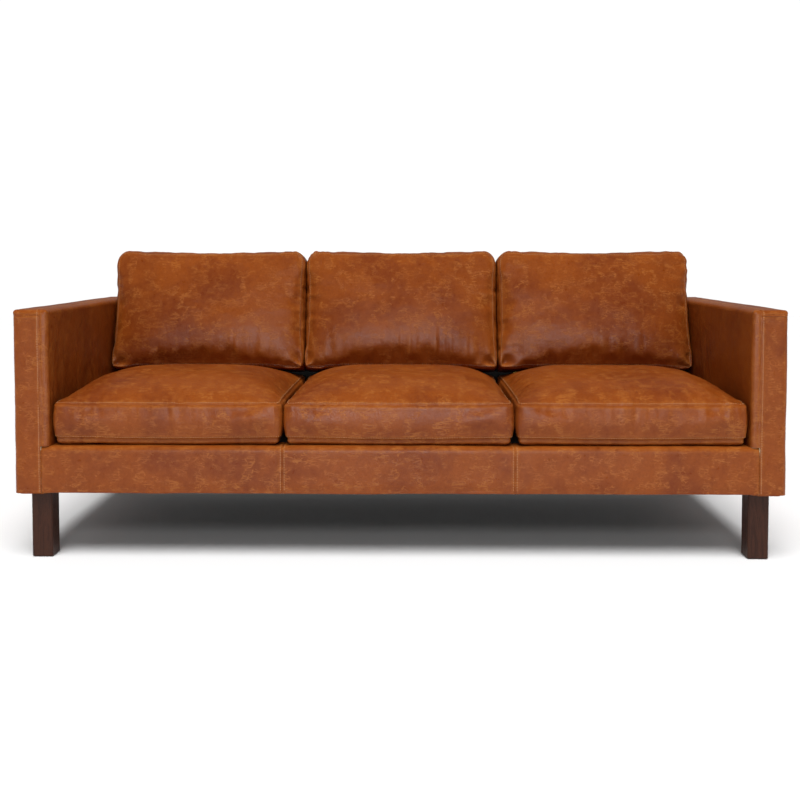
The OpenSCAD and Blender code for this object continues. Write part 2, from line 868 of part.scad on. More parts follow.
module seat_zip_slider(x) {
    color(BRASS) at_seat_zip(x) zip_slider();
}

// A back cushion's own frame: it stands on its rear face, so that z points out of its crowned front
module at_back_cushion(x) {
    on_back() translate([x, back_cushion_v1, back_cushion_u0 + back_cushion_h / 2])
        rotate([90, 0, 0]) children();
}

module at_back_zip(x) {
    on_back() translate([x, back_zip_v, back_cushion_u0]) rotate([-90, 0, 0]) children();
}

module back_block(depth) {
    cushion_block(cushion_w, back_cushion_h, back_cushion_t, back_crown_h, back_corner_r, depth);
}

module back_cushion_cover(x) {
    color(LEATHER) difference() {
        at_back_cushion(x) difference() {
            back_block(0);
            back_block(leather_t);
        }
        at_back_zip(x) zip_slot();
    }
}

module back_cushion_core(x) {
    color(FOAM) at_back_cushion(x) back_block(leather_t);
}

module back_cushion_zip(x) {
    color(LINING) at_back_zip(x) zip_strip();
}

module back_cushion_slider(x) {
    color(BRASS) at_back_zip(x) zip_slider();
}

arm_posts(-1);  // left_arm_posts
arm_rails(-1);  // left_arm_rails
arm_boards(-1);  // left_arm_boards
arm_padding(-1);  // left_arm_padding
arm_cover(-1);  // left_arm_cover
arm_posts(1);  // right_arm_posts
arm_rails(1);  // right_arm_rails
arm_boards(1);  // right_arm_boards
arm_padding(1);  // right_arm_padding
arm_cover(1);  // right_arm_cover
front_rail();
rear_rail();
cross_rails();
corner_blocks();
seat_springs();
spring_clips();
spring_ties();
deck_pad();
deck_cover();
front_rail_padding();
front_rail_cover();
dust_cover();
back_posts();
back_rails();
back_webbing();
back_padding();
inside_back_cover();
outside_back_cover();
leg(-1, -1);  // front_left_leg
leg(1, -1);  // front_right_leg
leg(-1, 1);  // rear_left_leg
leg(1, 1);  // rear_right_leg
leg_glides();
hanger_bolts();
arm_bolts();
t_nuts();
seat_cover(LEFT);  // left_seat_cover
seat_core(LEFT);  // left_seat_core
seat_zip(LEFT);  // left_seat_zip
seat_zip_slider(LEFT);  // left_seat_zip_slider
seat_cover(MIDDLE);  // middle_seat_cover
seat_core(MIDDLE);  // middle_seat_core
seat_zip(MIDDLE);  // middle_seat_zip
seat_zip_slider(MIDDLE);  // middle_seat_zip_slider
seat_cover(RIGHT);  // right_seat_cover
seat_core(RIGHT);  // right_seat_core
seat_zip(RIGHT);  // right_seat_zip
seat_zip_slider(RIGHT);  // right_seat_zip_slider
back_cushion_cover(LEFT);  // left_back_cushion_cover
back_cushion_core(LEFT);  // left_back_cushion_core
back_cushion_zip(LEFT);  // left_back_cushion_zip
back_cushion_slider(LEFT);  // left_back_cushion_slider
back_cushion_cover(MIDDLE);  // middle_back_cushion_cover
back_cushion_core(MIDDLE);  // middle_back_cushion_core
back_cushion_zip(MIDDLE);  // middle_back_cushion_zip
back_cushion_slider(MIDDLE);  // middle_back_cushion_slider
back_cushion_cover(RIGHT);  // right_back_cushion_cover
back_cushion_core(RIGHT);  // right_back_cushion_core
back_cushion_zip(RIGHT);  // right_back_cushion_zip
back_cushion_slider(RIGHT);  // right_back_cushion_slider
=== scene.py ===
"""Looks of a three-seat leather sofa: loose cushions, track arms and square wooden legs."""
import json
import math

import bmesh
import bpy
import numpy as np
from mathutils import Matrix, Vector


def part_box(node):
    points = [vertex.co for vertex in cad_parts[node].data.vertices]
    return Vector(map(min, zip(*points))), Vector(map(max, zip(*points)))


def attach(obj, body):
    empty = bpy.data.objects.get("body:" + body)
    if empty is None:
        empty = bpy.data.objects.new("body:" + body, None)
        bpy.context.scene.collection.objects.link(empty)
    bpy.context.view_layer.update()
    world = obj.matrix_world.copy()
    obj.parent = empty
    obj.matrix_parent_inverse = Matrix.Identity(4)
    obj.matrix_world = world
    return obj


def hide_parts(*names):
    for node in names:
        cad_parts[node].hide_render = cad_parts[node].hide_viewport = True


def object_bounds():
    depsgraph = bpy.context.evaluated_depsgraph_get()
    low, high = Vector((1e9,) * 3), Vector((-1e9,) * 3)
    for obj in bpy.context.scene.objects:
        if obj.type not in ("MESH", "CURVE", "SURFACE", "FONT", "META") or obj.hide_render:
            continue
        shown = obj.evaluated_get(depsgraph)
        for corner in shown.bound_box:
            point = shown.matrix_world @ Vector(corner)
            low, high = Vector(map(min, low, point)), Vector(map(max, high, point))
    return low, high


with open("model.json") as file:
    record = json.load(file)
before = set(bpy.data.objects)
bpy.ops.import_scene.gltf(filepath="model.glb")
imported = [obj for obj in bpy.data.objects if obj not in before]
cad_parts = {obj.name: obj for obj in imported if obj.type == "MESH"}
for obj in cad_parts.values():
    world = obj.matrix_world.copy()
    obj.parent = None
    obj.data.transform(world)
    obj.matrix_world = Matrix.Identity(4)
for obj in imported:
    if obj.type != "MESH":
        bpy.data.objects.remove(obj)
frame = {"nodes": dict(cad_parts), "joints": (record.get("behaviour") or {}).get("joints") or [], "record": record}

bl_info = {
    "name": "Leather sofa upholstery",
    "version": (1, 0, 0),
    "blender": (4, 5, 0),
    "location": "3D View > Sidebar > Sofa",
    "description": "Upholsters a sofa's frame with leather arms, rails and loose cushions",
    "category": "Object",
}

CAD_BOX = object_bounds()
PLACES = ("left", "middle", "right")
LEATHER = 0.0015  # thickness of the arms', rail's and back's leather
CELL = 0.011  # size of the cells that those are cut into
RAIL_LAYER = 0.0135  # from the front rail's face to what stands behind its leather and padding
SEAM_SPREAD = (-0.0045, -0.0015, 0.0, 0.0015, 0.0045)  # a pattern's lines round a seam
STITCH_OFFSET = 0.0045  # from a seam to the stitches beside it
WELT_RADIUS = 0.0021  # of the back cushions' seam welts
FLOOR_REACH = 14.0  # from the middle of the studio floor to its edges
BACKDROP_RADIUS = 12.0
SENSOR_WIDTH = 36.0  # millimetres, for the camera's focal length
# how near a vertex's place on its pattern is to a line, and to a face, that it lies on
ON_LINE = 3e-4
ON_FACE = 1e-4

# ---------------------------------------------------------------- small tools


def smooth_step(low, high, x):
    """0 up to low, 1 from high on, and a smooth rise between them."""
    t = np.clip((x - low) / (high - low), 0, 1)
    return t * t * (3 - 2 * t)


def wave_noise(points, size, seed=0):
    """Smooth noise from -1 to 1 at each point, with features about size across."""
    p = np.asarray(points, float) / size + 17.3 * (seed + 1)
    cell = np.floor(p).astype(np.int64)
    part = p - cell
    part = part * part * (3 - 2 * part)
    total = np.zeros(len(p))
    for corner in np.ndindex(*(2,) * p.shape[1]):
        key = np.full(len(p), 374761393 * (seed + 11), np.int64)
        weight = np.ones(len(p))
        for axis, step in enumerate(corner):
            key = (key ^ (cell[:, axis] + step)) * 668265263 + 974634777 * (axis + 1)
            key &= 0xFFFFFFFF
            key ^= key >> 15
            weight *= part[:, axis] if step else 1 - part[:, axis]
        total += weight * ((key % 65521) / 32760.0 - 1)
    return total


def fractal(points, size, seed=0, octaves=3):
    """Several layers of smooth noise, each half the size of the one before."""
    return sum(wave_noise(points, size / 2**i, seed + i) / 2**i for i in range(octaves))


def steps(low, high, pitch, near=None):
    """Places from low to high about a pitch apart, with one more line near each end."""
    if near is None:
        return np.linspace(low, high, max(1, round((high - low) / pitch)) + 1)
    middle = np.linspace(low + near, high - near, max(1, round((high - low) / pitch)) + 1)
    return np.concatenate([[low], middle, [high]])


def with_lines(places, lines):
    """The places with extra ones added, and with what lies too close to those taken out."""
    lines = np.asarray(lines, float)
    inner = [p for p in places[1:-1] if np.min(np.abs(lines - p)) > 0.0025]
    return np.array(sorted([places[0], *inner, *lines, places[-1]]))


def box_skin(xs, ys, zs, keep=None):
    """Vertices and faces of a box's skin, cut at the given places. keep(centre) says which faces stay."""
    last = len(xs) - 1, len(ys) - 1, len(zs) - 1
    index, points, faces = {}, [], []

    def at(i, j, k):
        if (i, j, k) not in index:
            index[i, j, k] = len(points)
            points.append((xs[i], ys[j], zs[k]))
        return index[i, j, k]

    def face(*corners):
        middle = np.mean([(xs[i], ys[j], zs[k]) for i, j, k in corners], axis=0)
        if keep is None or keep(*middle):
            faces.append([at(*c) for c in corners])

    for i in range(last[0]):
        for j in range(last[1]):
            face((i, j, 0), (i, j + 1, 0), (i + 1, j + 1, 0), (i + 1, j, 0))
            k = last[2]
            face((i, j, k), (i + 1, j, k), (i + 1, j + 1, k), (i, j + 1, k))
    for k in range(last[2]):
        for i in range(last[0]):
            face((i, 0, k), (i + 1, 0, k), (i + 1, 0, k + 1), (i, 0, k + 1))
            j = last[1]
            face((i + 1, j, k), (i, j, k), (i, j, k + 1), (i + 1, j, k + 1))
        for j in range(last[1]):
            face((0, j + 1, k), (0, j, k), (0, j, k + 1), (0, j + 1, k + 1))
            i = last[0]
            face((i, j, k), (i, j + 1, k), (i, j + 1, k + 1), (i, j, k + 1))
    return np.array(points, float), faces


def make_object(name, points, faces, pattern=None):
    """A smooth mesh object. pattern is where each vertex lies on the flat-sided pattern it was cut from."""
    mesh = bpy.data.meshes.new(name)
    mesh.from_pydata([tuple(p) for p in points], [], [list(map(int, f)) for f in faces])
    mesh.polygons.foreach_set("use_smooth", [True] * len(mesh.polygons))
    if pattern is not None:
        layer = mesh.attributes.new("pattern", "FLOAT_VECTOR", "POINT")
        layer.data.foreach_set("vector", np.asarray(pattern, np.float32).ravel())
    mesh.update()
    obj = bpy.data.objects.new(name, mesh)
    bpy.context.scene.collection.objects.link(obj)
    return obj


def read(mesh, layer=None):
    """Positions of a mesh's vertices, or its named vector layer."""
    out = np.empty(len(mesh.vertices) * 3, np.float32)
    if layer:
        mesh.attributes[layer].data.foreach_get("vector", out)
    else:
        mesh.vertices.foreach_get("co", out)
    return out.reshape(-1, 3).astype(float)


def normals_of(mesh):
    """The directions that a mesh's vertices face."""
    out = np.empty(len(mesh.vertices) * 3, np.float32)
    mesh.vertex_normals.foreach_get("vector", out)
    return out.reshape(-1, 3).astype(float)


def write(mesh, points):
    """Moves a mesh's vertices."""
    mesh.vertices.foreach_set("co", np.asarray(points, np.float32).ravel())
    mesh.update()


def bake_modifiers(obj):
    """Makes what the object's modifiers show its own mesh."""
    graph = bpy.context.evaluated_depsgraph_get()
    shown = obj.evaluated_get(graph)
    mesh = bpy.data.meshes.new_from_object(shown, preserve_all_data_layers=True, depsgraph=graph)
    old = obj.data
    obj.modifiers.clear()
    obj.data = mesh
    bpy.data.meshes.remove(old)


def subdivide(obj):
    """Smooths a mesh by one round of subdivision."""
    obj.modifiers.new("Smooth", "SUBSURF").levels = 1
    bake_modifiers(obj)


def thicken(obj, thickness):
    """Gives an open leather skin its thickness, inwards."""
    solid = obj.modifiers.new("Thickness", "SOLIDIFY")
    solid.thickness = thickness
    solid.offset = -1
    bake_modifiers(obj)


def mark_rub_and_highlight(obj, rub_and_highlight):
    """Writes how much lighter the leather is painted at each vertex, from 0 to 1: rubbed and pulled leather, and
    painted highlight on seam lips and fold crests.
    """
    layer = obj.data.attributes.new("rub_and_highlight", "FLOAT", "POINT")
    layer.data.foreach_set("value", np.clip(rub_and_highlight, 0, 1).astype(np.float32))


def finish_piece(obj, material, body, replaced=()):
    """Gives a piece its material, its body and the frame's pieces that it stands for."""
    obj.data.materials.clear()
    obj.data.materials.append(material)
    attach(obj, body)
    if replaced:
        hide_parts(*replaced)


# ---------------------------------------------------------------- thread and welts


def resample(points, normals, pitch, closed):
    """Evenly spaced points, directions and normals along a line on a surface."""
    if closed:
        points = np.vstack([points, points[:1]])
        normals = np.vstack([normals, normals[:1]])
    gaps = np.linalg.norm(np.diff(points, axis=0), axis=1)
    run = np.concatenate([[0], np.cumsum(gaps)])
    count = max(2, int(run[-1] / pitch))
    where = (np.arange(count) + 0.5) * run[-1] / count
    at = np.stack([np.interp(where, run, points[:, i]) for i in range(3)], axis=1)
    up = np.stack([np.interp(where, run, normals[:, i]) for i in range(3)], axis=1)
    ahead = np.stack([np.interp(where + 1e-4, run, points[:, i]) for i in range(3)], axis=1)
    behind = np.stack([np.interp(where - 1e-4, run, points[:, i]) for i in range(3)], axis=1)
    way = ahead - behind
    way /= np.maximum(np.linalg.norm(way, axis=1, keepdims=True), 1e-9)
    up -= way * np.sum(up * way, axis=1, keepdims=True)
    up /= np.maximum(np.linalg.norm(up, axis=1, keepdims=True), 1e-9)
    return at, way, up


def sew(name, lines, pitch=0.0068, length=0.0046, thickness=0.0011, sides=6):
    """One object of short rounded stitches along lines of (points, normals, closed)."""
    rings = ((-0.5, 0.35), (-0.38, 0.9), (0, 1.0), (0.38, 0.9), (0.5, 0.35))
    angles = np.arange(sides) * 2 * math.pi / sides
    points, faces = [], []
    for line, normals, closed in lines:
        if len(line) < 2:
            continue
        at, way, up = resample(line, normals, pitch, closed)
        side = np.cross(way, up)
        for k in range(len(at)):
            base = len(points)
            for along, fat in rings:
                dip = -thickness * 0.7 * (2 * along) ** 2
                middle = at[k] + way[k] * along * length + up[k] * (thickness * 0.35 + dip)
                for a in angles:
                    r = thickness / 2 * fat
                    points.append(middle + side[k] * math.cos(a) * r * 1.25 + up[k] * math.sin(a) * r)
            for r in range(len(rings) - 1):
                for s in range(sides):
                    a, b = base + r * sides + s, base + r * sides + (s + 1) % sides
                    faces.append((a, b, b + sides, a + sides))
            end = base + (len(rings) - 1) * sides
            faces.append([base + s for s in reversed(range(sides))])
            faces.append([end + s for s in range(sides)])
    return make_object(name, points, faces)


def welt(name, line, normals, radius, sink, sides=8):
    """A thin round welt laid along a seam that runs in a ring, sunk by a share of its radius."""
    at, way, up = resample(line, normals, 0.005, closed=True)
    side = np.cross(way, up)
    middle = at - up * radius * sink
    angles = np.arange(sides) * 2 * math.pi / sides
    rings = [middle + side * math.cos(a) * radius + up * math.sin(a) * radius for a in angles]
    points = np.stack(rings, axis=1).reshape(-1, 3)
    count = len(at)
    faces = []
    for k in range(count):
        for s in range(sides):
            a, b = k * sides + s, k * sides + (s + 1) % sides
            c, d = (k + 1) % count * sides + s, (k + 1) % count * sides + (s + 1) % sides
            faces.append((a, b, d, c))
    return make_object(name, points, faces)


def ring_line(mesh, pattern, half, inset, level):
    """A line round a cushion, a distance inside its edge and at one level of its pattern."""
    hx, hy = half
    depth = np.minimum(hx - np.abs(pattern[:, 0]), hy - np.abs(pattern[:, 1]))
    chosen = np.nonzero((np.abs(depth - inset) < ON_LINE) & (np.abs(pattern[:, 2] - level) < ON_LINE))[0]
    x, y = pattern[chosen, 0], pattern[chosen, 1]
    ex, ey = hx - inset, hy - inset
    place = np.where(
        np.abs(y + ey) < 1e-3, x + ex,
        np.where(np.abs(x - ex) < 1e-3, 2 * ex + y + ey,
                 np.where(np.abs(y - ey) < 1e-3, 2 * ex + 2 * ey + ex - x, 4 * ex + 2 * ey + ey - y)))
    order = chosen[np.argsort(place, kind="stable")]
    return read(mesh)[order], normals_of(mesh)[order]


# ---------------------------------------------------------------- materials


def add_node(tree, kind, inputs=None, **settings):
    """Adds a node. inputs maps a socket's name or number to a value or to another node's socket."""
    made = tree.nodes.new(kind)
    for name, value in settings.items():
        setattr(made, name, value)
    for name, value in (inputs or {}).items():
        socket = made.inputs[name]
        if isinstance(value, bpy.types.NodeSocket):
            tree.links.new(value, socket)
        else:
            socket.default_value = value
    return made


def arithmetic(tree, operation, *values):
    """One step of arithmetic on values or sockets."""
    made = add_node(tree, "ShaderNodeMath", dict(enumerate(values)), operation=operation)
    return made.outputs[0]


def remap(tree, value, low, high, to_low=0.0, to_high=1.0, smooth=False):
    """A value taken from one range to another, and held inside it."""
    made = add_node(tree, "ShaderNodeMapRange",
                    {"Value": value, "From Min": low, "From Max": high,
                     "To Min": to_low, "To Max": to_high},
                    interpolation_type="SMOOTHSTEP" if smooth else "LINEAR")
    return made.outputs[0]


def mix_colour(tree, share, first, second):
    """The first colour, with a share of the second."""
    made = add_node(tree, "ShaderNodeMix", data_type="RGBA")
    for socket, value in ((0, share), (6, first), (7, second)):
        if isinstance(value, bpy.types.NodeSocket):
            tree.links.new(value, made.inputs[socket])
        else:
            made.inputs[socket].default_value = value
    return made.outputs[2]


def noise_at(tree, place, scale, detail=3.0, roughness=0.5, distortion=0.0):
    """Solid noise about 0.5, with so many features to the metre."""
    made = add_node(tree, "ShaderNodeTexNoise",
                    {"Vector": place, "Scale": scale, "Detail": detail, "Roughness": roughness,
                     "Distortion": distortion})
    return made.outputs["Fac"]


def stretched(tree, place, scale, turn=(0.0, 0.0, 0.0)):
    """The place turned, and stretched by a different scale along each axis."""
    made = add_node(tree, "ShaderNodeMapping", {"Vector": place, "Rotation": turn, "Scale": scale})
    return made.outputs[0]


def cells_at(tree, place, scale, feature="F1"):
    """How far each place is from the middle of its cell, or with DISTANCE_TO_EDGE from its edge."""
    made = add_node(tree, "ShaderNodeTexVoronoi", {"Vector": place, "Scale": scale}, feature=feature)
    return made.outputs["Distance"]


def multiply(tree, first, second):
    """Two values or sockets multiplied."""
    return arithmetic(tree, "MULTIPLY", first, second)


def emboss(tree, shader, height, strength, distance):
    """Makes the surface rise and fall with a height."""
    bump = add_node(tree, "ShaderNodeBump", {"Height": height, "Strength": strength, "Distance": distance})
    tree.links.new(bump.outputs[0], shader.inputs["Normal"])


def darkened(colour, share):
    """A colour as a picker shows it, darkened to a share of its brightness, in linear light."""
    return linear([c * share for c in colour])


def new_material(name):
    """A new material with its node tree, its shader and the place on the object."""
    material = bpy.data.materials.new(name)
    material.use_nodes = True
    tree = material.node_tree
    shader = tree.nodes["Principled BSDF"]
    place = add_node(tree, "ShaderNodeTexCoord").outputs["Object"]
    return material, tree, shader, place


def linear(colour):
    """A colour as a picker shows it, 0 to 1, turned into linear light."""
    return tuple(c / 12.92 if c <= 0.04045 else ((c + 0.055) / 1.055) ** 2.4 for c in colour) + (1.0,)


def thin_lines(tree, place, scale, width, detail=2.0, distortion=0.6):
    """Fine wandering lines, where a noise crosses its middle value."""
    value = noise_at(tree, place, scale, detail, 0.55, distortion)
    off = arithmetic(tree, "ABSOLUTE", arithmetic(tree, "SUBTRACT", value, 0.5))
    return remap(tree, off, 0.0, width, 1.0, 0.0)


def broken(tree, lines, place, scale, low=0.46, high=0.56):
    """Lines broken into short strokes."""
    gaps = remap(tree, noise_at(tree, place, scale, 2.0), low, high, smooth=True)
    return multiply(tree, lines, gaps)


def leather_material(look):
    """Waxed leather that lightens where it is pulled: softly mottled, with a net of pale creases, and lighter
    where the mesh says so: rubbed leather, and painted highlight on seam lips and fold crests.
    """
    material, tree, shader, place = new_material("pull_up_leather")
    cloud = noise_at(tree, place, 5.0, 4.0, 0.6, 0.3)
    mottle = noise_at(tree, place, 52.0, 8.0, 0.76, 0.3)
    speck = noise_at(tree, place, 160.0, 4.0, 0.65)
    dark, light = linear(look.leather_dark), linear(look.leather_light)
    ground = mix_colour(tree, remap(tree, cloud, 0.40, 0.66, smooth=True), linear(look.leather_main), dark)
    ground = mix_colour(tree, remap(tree, mottle, 0.36, 0.72, 0.0, 0.55), ground, light)
    ground = mix_colour(tree, remap(tree, speck, 0.38, 0.66, 0.0, 0.35), ground, dark)
    wander = add_node(tree, "ShaderNodeTexNoise", {"Vector": place, "Scale": 26.0, "Detail": 3.0})
    wander = add_node(tree, "ShaderNodeVectorMath", {0: wander.outputs["Color"], "Scale": 0.030},
                      operation="SCALE")
    moved = add_node(tree, "ShaderNodeVectorMath", {0: place, 1: wander.outputs[0]}, operation="ADD")
    crackle = remap(tree, cells_at(tree, moved.outputs[0], 44.0, "DISTANCE_TO_EDGE"), 0.0, 0.045, 1.0, 0.0)
    patch = remap(tree, noise_at(tree, place, 8.0, 3.0, 0.6), 0.40, 0.62, smooth=True)
    net = multiply(tree, broken(tree, crackle, place, 30.0), 0.45)
    for turn, scale, width in (((0.3, 0.9, 0.2), (15.0, 74.0, 74.0), 0.022),
                               ((0.5, -0.7, 1.1), (17.0, 82.0, 82.0), 0.024),
                               ((1.2, 0.2, -0.8), (14.0, 62.0, 62.0), 0.020),
                               ((0.0, 0.0, 0.0), (42.0, 42.0, 42.0), 0.014)):
        run = stretched(tree, place, scale, turn)
        lines = thin_lines(tree, run, 1.0, width, 1.0, 0.2)
        net = arithmetic(tree, "MAXIMUM", net, broken(tree, lines, place, 30.0, 0.47, 0.56))
    # the mesh's layer of pale marks: rubbed leather, and painted highlight on seam lips and fold crests
    rub_and_highlight_layer = add_node(tree, "ShaderNodeAttribute", attribute_name="rub_and_highlight").outputs["Fac"]
    creases = multiply(tree, net, remap(tree, patch, 0.0, 1.0, 0.55, 1.0))
    rub_and_highlight_share = multiply(tree, rub_and_highlight_layer, remap(tree, mottle, 0.38, 0.6, 0.3, 1.0))
    # the pale creases, the rubbed leather and the painted highlights all take the crease colour
    pale = arithmetic(tree, "MINIMUM", arithmetic(tree, "ADD", multiply(tree, creases, 0.56),
                                                  multiply(tree, rub_and_highlight_share, 0.6)), 0.85)
    colour = mix_colour(tree, pale, ground, linear(look.leather_crease_and_highlight))
    tree.links.new(colour, shader.inputs["Base Color"])
    rough = arithmetic(tree, "ADD",
                       remap(tree, mottle, 0.3, 0.7, look.leather_rough - 0.06, look.leather_rough + 0.08),
                       multiply(tree, creases, 0.12))
    tree.links.new(rough, shader.inputs["Roughness"])
    grain = remap(tree, cells_at(tree, place, 620.0, "DISTANCE_TO_EDGE"), 0.0, 0.22)
    folds = noise_at(tree, place, 55.0, 5.0, 0.62, 0.8)
    height = arithmetic(tree, "ADD", multiply(tree, grain, 0.15),
                        multiply(tree, folds, 1.1))
    height = arithmetic(tree, "SUBTRACT", height, multiply(tree, creases, 0.45))
    emboss(tree, shader, height, 0.55, 0.0009)
    shader.inputs["Specular IOR Level"].default_value = 0.20
    return material


def wood_material(name, dark, light, rough, along):
    """Straight-grained wood with pores; along says which way the grain runs."""
    material, tree, shader, place = new_material(name)
    run = stretched(tree, place, along)
    rings = noise_at(tree, run, 3.2, 4.0, 0.6, 1.6)
    figure = remap(tree, arithmetic(tree, "PINGPONG", multiply(tree, rings, 6.0), 1.0), 0.0, 1.0)
    pores = noise_at(tree, stretched(tree, place, tuple(a * 14 for a in along)), 4.0, 3.0, 0.7)
    pore_mask = remap(tree, pores, 0.36, 0.46, 1.0, 0.0)
    colour = mix_colour(tree, multiply(tree, figure, 0.7), linear(dark), linear(light))
    colour = mix_colour(tree, multiply(tree, pore_mask, 0.5), colour, darkened(dark, 0.45))
    tree.links.new(colour, shader.inputs["Base Color"])
    tree.links.new(remap(tree, figure, 0.0, 1.0, rough + 0.06, rough - 0.04), shader.inputs["Roughness"])
    height = arithmetic(tree, "SUBTRACT", multiply(tree, figure, 0.3), pore_mask)
    emboss(tree, shader, height, 0.35, 0.0004)
    shader.inputs["Specular IOR Level"].default_value = 0.2
    return material


def weave_material(name, colour, second, pitch, rough=0.85):
    """Plain woven cloth, its threads a pitch apart, with painted shade between the threads."""
    material, tree, shader, place = new_material(name)
    scale = 1.0 / pitch
    wobble = noise_at(tree, place, 60.0, 2.0)
    bands = []
    for axis in ((1.0, 0.0, 0.0), (0.0, 0.45, 0.9)):
        along = add_node(tree, "ShaderNodeVectorMath", {0: place, 1: axis}, operation="DOT_PRODUCT")
        moved = arithmetic(tree, "ADD", multiply(tree, along.outputs["Value"], scale * math.pi),
                           multiply(tree, wobble, 0.6))
        bands.append(arithmetic(tree, "ABSOLUTE", arithmetic(tree, "SINE", moved)))
    threads = multiply(tree, bands[0], bands[1])
    shade = noise_at(tree, place, 11.0, 4.0, 0.6)
    ground = mix_colour(tree, remap(tree, shade, 0.35, 0.65), linear(colour), linear(second))
    # darker between the threads: painted shade
    tree.links.new(mix_colour(tree, remap(tree, threads, 0.0, 0.5, 0.5, 0.0), ground,
                              darkened(colour, 0.5)), shader.inputs["Base Color"])
    emboss(tree, shader, threads, 0.6, 0.0004)
    shader.inputs["Roughness"].default_value = rough
    return material


def foam_material(name, colour):
    """Open-celled foam, with painted shade in its cells."""
    material, tree, shader, place = new_material(name)
    holes = remap(tree, cells_at(tree, place, 420.0), 0.1, 0.6)
    shade = noise_at(tree, place, 9.0, 4.0, 0.6)
    ground = mix_colour(tree, remap(tree, shade, 0.3, 0.7, 0.0, 0.5), linear(colour),
                        darkened(colour, 0.85))
    # the cells' hollows painted darker: painted shade
    tree.links.new(mix_colour(tree, remap(tree, holes, 0.0, 1.0, 0.35, 0.0), ground,
                              darkened(colour, 0.6)), shader.inputs["Base Color"])
    emboss(tree, shader, holes, 0.5, 0.0006)
    shader.inputs["Roughness"].default_value = 0.95
    return material


def metal_material(name, colour, rough):
    """Metal with fine drawn lines and a few dull spots."""
    material, tree, shader, place = new_material(name)
    lines = noise_at(tree, stretched(tree, place, (30.0, 900.0, 900.0)), 1.0, 2.0)
    spots = noise_at(tree, place, 130.0, 4.0, 0.6)
    tree.links.new(mix_colour(tree, remap(tree, spots, 0.5, 0.75, 0.0, 0.6), linear(colour),
                              darkened(colour, 0.6)), shader.inputs["Base Color"])
    tree.links.new(remap(tree, lines, 0.3, 0.7, rough - 0.08, rough + 0.12), shader.inputs["Roughness"])
    shader.inputs["Metallic"].default_value = 1.0
    return material


def plastic_material(name, colour, rough):
    """Moulded plastic with a fine spark texture."""
    material, tree, shader, place = new_material(name)
    spark = noise_at(tree, place, 900.0, 3.0, 0.6)
    scuff = noise_at(tree, place, 60.0, 5.0, 0.7, 1.0)
    tree.links.new(mix_colour(tree, remap(tree, scuff, 0.55, 0.7, 0.0, 0.5), linear(colour),
                              linear([min(1, c * 1.7) for c in colour])), shader.inputs["Base Color"])
    tree.links.new(remap(tree, scuff, 0.3, 0.7, rough - 0.05, rough + 0.15), shader.inputs["Roughness"])
    emboss(tree, shader, spark, 0.3, 0.0002)
    return material


def thread_material(look):
    """Waxed thread, twisted."""
    material, tree, shader, place = new_material("waxed_thread")
    twist = noise_at(tree, place, 700.0, 2.0)
    tree.links.new(mix_colour(tree, remap(tree, twist, 0.35, 0.65), linear(look.thread_colour),
                              darkened(look.thread_colour, 0.72)), shader.inputs["Base Color"])
    shader.inputs["Roughness"].default_value = 0.55
    return material


def material(name):
    """A finish made earlier in the run, or made now."""
    if name in bpy.data.materials:
        return bpy.data.materials[name]
    look = bpy.context.scene.sofa_finish
    makers = {
        "pull_up_leather": lambda: leather_material(look),
        "waxed_thread": lambda: thread_material(look),
        "stained_leg_wood": lambda: wood_material(
            "stained_leg_wood", look.leg_dark, look.leg_light, 0.42, (16.0, 16.0, 1.6)),
        "frame_softwood": lambda: wood_material(
            "frame_softwood", (0.66, 0.50, 0.32), (0.82, 0.69, 0.48), 0.72, (1.6, 9.0, 9.0)),
        "pressed_board": lambda: wood_material(
            "pressed_board", (0.42, 0.31, 0.20), (0.50, 0.39, 0.26), 0.8, (24.0, 24.0, 24.0)),
        "seat_foam": lambda: foam_material("seat_foam", (0.90, 0.86, 0.72)),
        "black_lining": lambda: weave_material(
            "black_lining", (0.07, 0.07, 0.07), (0.10, 0.10, 0.10), 0.0012),
        "jute_webbing": lambda: weave_material(
            "jute_webbing", (0.62, 0.52, 0.35), (0.72, 0.62, 0.44), 0.0024),
        "zip_tape": lambda: weave_material(
            "zip_tape", (0.17, 0.11, 0.07), (0.22, 0.14, 0.09), 0.0010, 0.75),
        "spring_wire": lambda: metal_material("spring_wire", (0.55, 0.56, 0.58), 0.38),
        "plated_steel": lambda: metal_material("plated_steel", (0.74, 0.74, 0.72), 0.30),
        "aged_brass": lambda: metal_material("aged_brass", (0.62, 0.48, 0.25), 0.34),
        "black_nylon": lambda: plastic_material("black_nylon", (0.09, 0.09, 0.09), 0.55),
    }
    return makers[name]()


# Which finish each of the record's slots takes on the frame's own pieces
SLOT_FINISHES = {
    "leather": "pull_up_leather", "leg_wood": "stained_leg_wood", "frame_wood": "frame_softwood",
    "board": "pressed_board", "foam": "seat_foam", "lining": "black_lining", "webbing": "jute_webbing",
    "spring_steel": "spring_wire", "bolt_steel": "plated_steel", "zip_tape": "zip_tape",
    "zip_metal": "aged_brass", "glide": "black_nylon",
}


# ---------------------------------------------------------------- cushions


def round_plan(points, half, radii):
    """Turns the corner squares of a box's plan into quarter discs. The radii: at low y, at high y."""
    out = points.copy()
    for side, radius in zip((-1, 1), radii):
        u = (np.abs(points[:, 0]) - (half[0] - radius)) / radius
        v = (side * points[:, 1] - (half[1] - radius)) / radius
        corner = (u > 0) & (v > 0)
        u, v = np.clip(u[corner], 0, 1), np.clip(v[corner], 0, 1)
        across = half[0] - radius + radius * u * np.sqrt(1 - v * v / 2)
        out[corner, 0] = np.sign(points[corner, 0]) * across
        out[corner, 1] = side * (half[1] - radius + radius * v * np.sqrt(1 - u * u / 2))
    return out


def plan_outward(points, half, radii):
    """The level direction straight out of a rounded plan, at each point."""
    radius = np.where(points[:, 1] < 0, *radii)[:, None]
    inner = np.clip(points[:, :2], radius - half, np.array(half) - radius)
    out = np.zeros((len(points), 3))
    out[:, :2] = points[:, :2] - inner
    return out / np.maximum(np.linalg.norm(out, axis=1, keepdims=True), 1e-9)


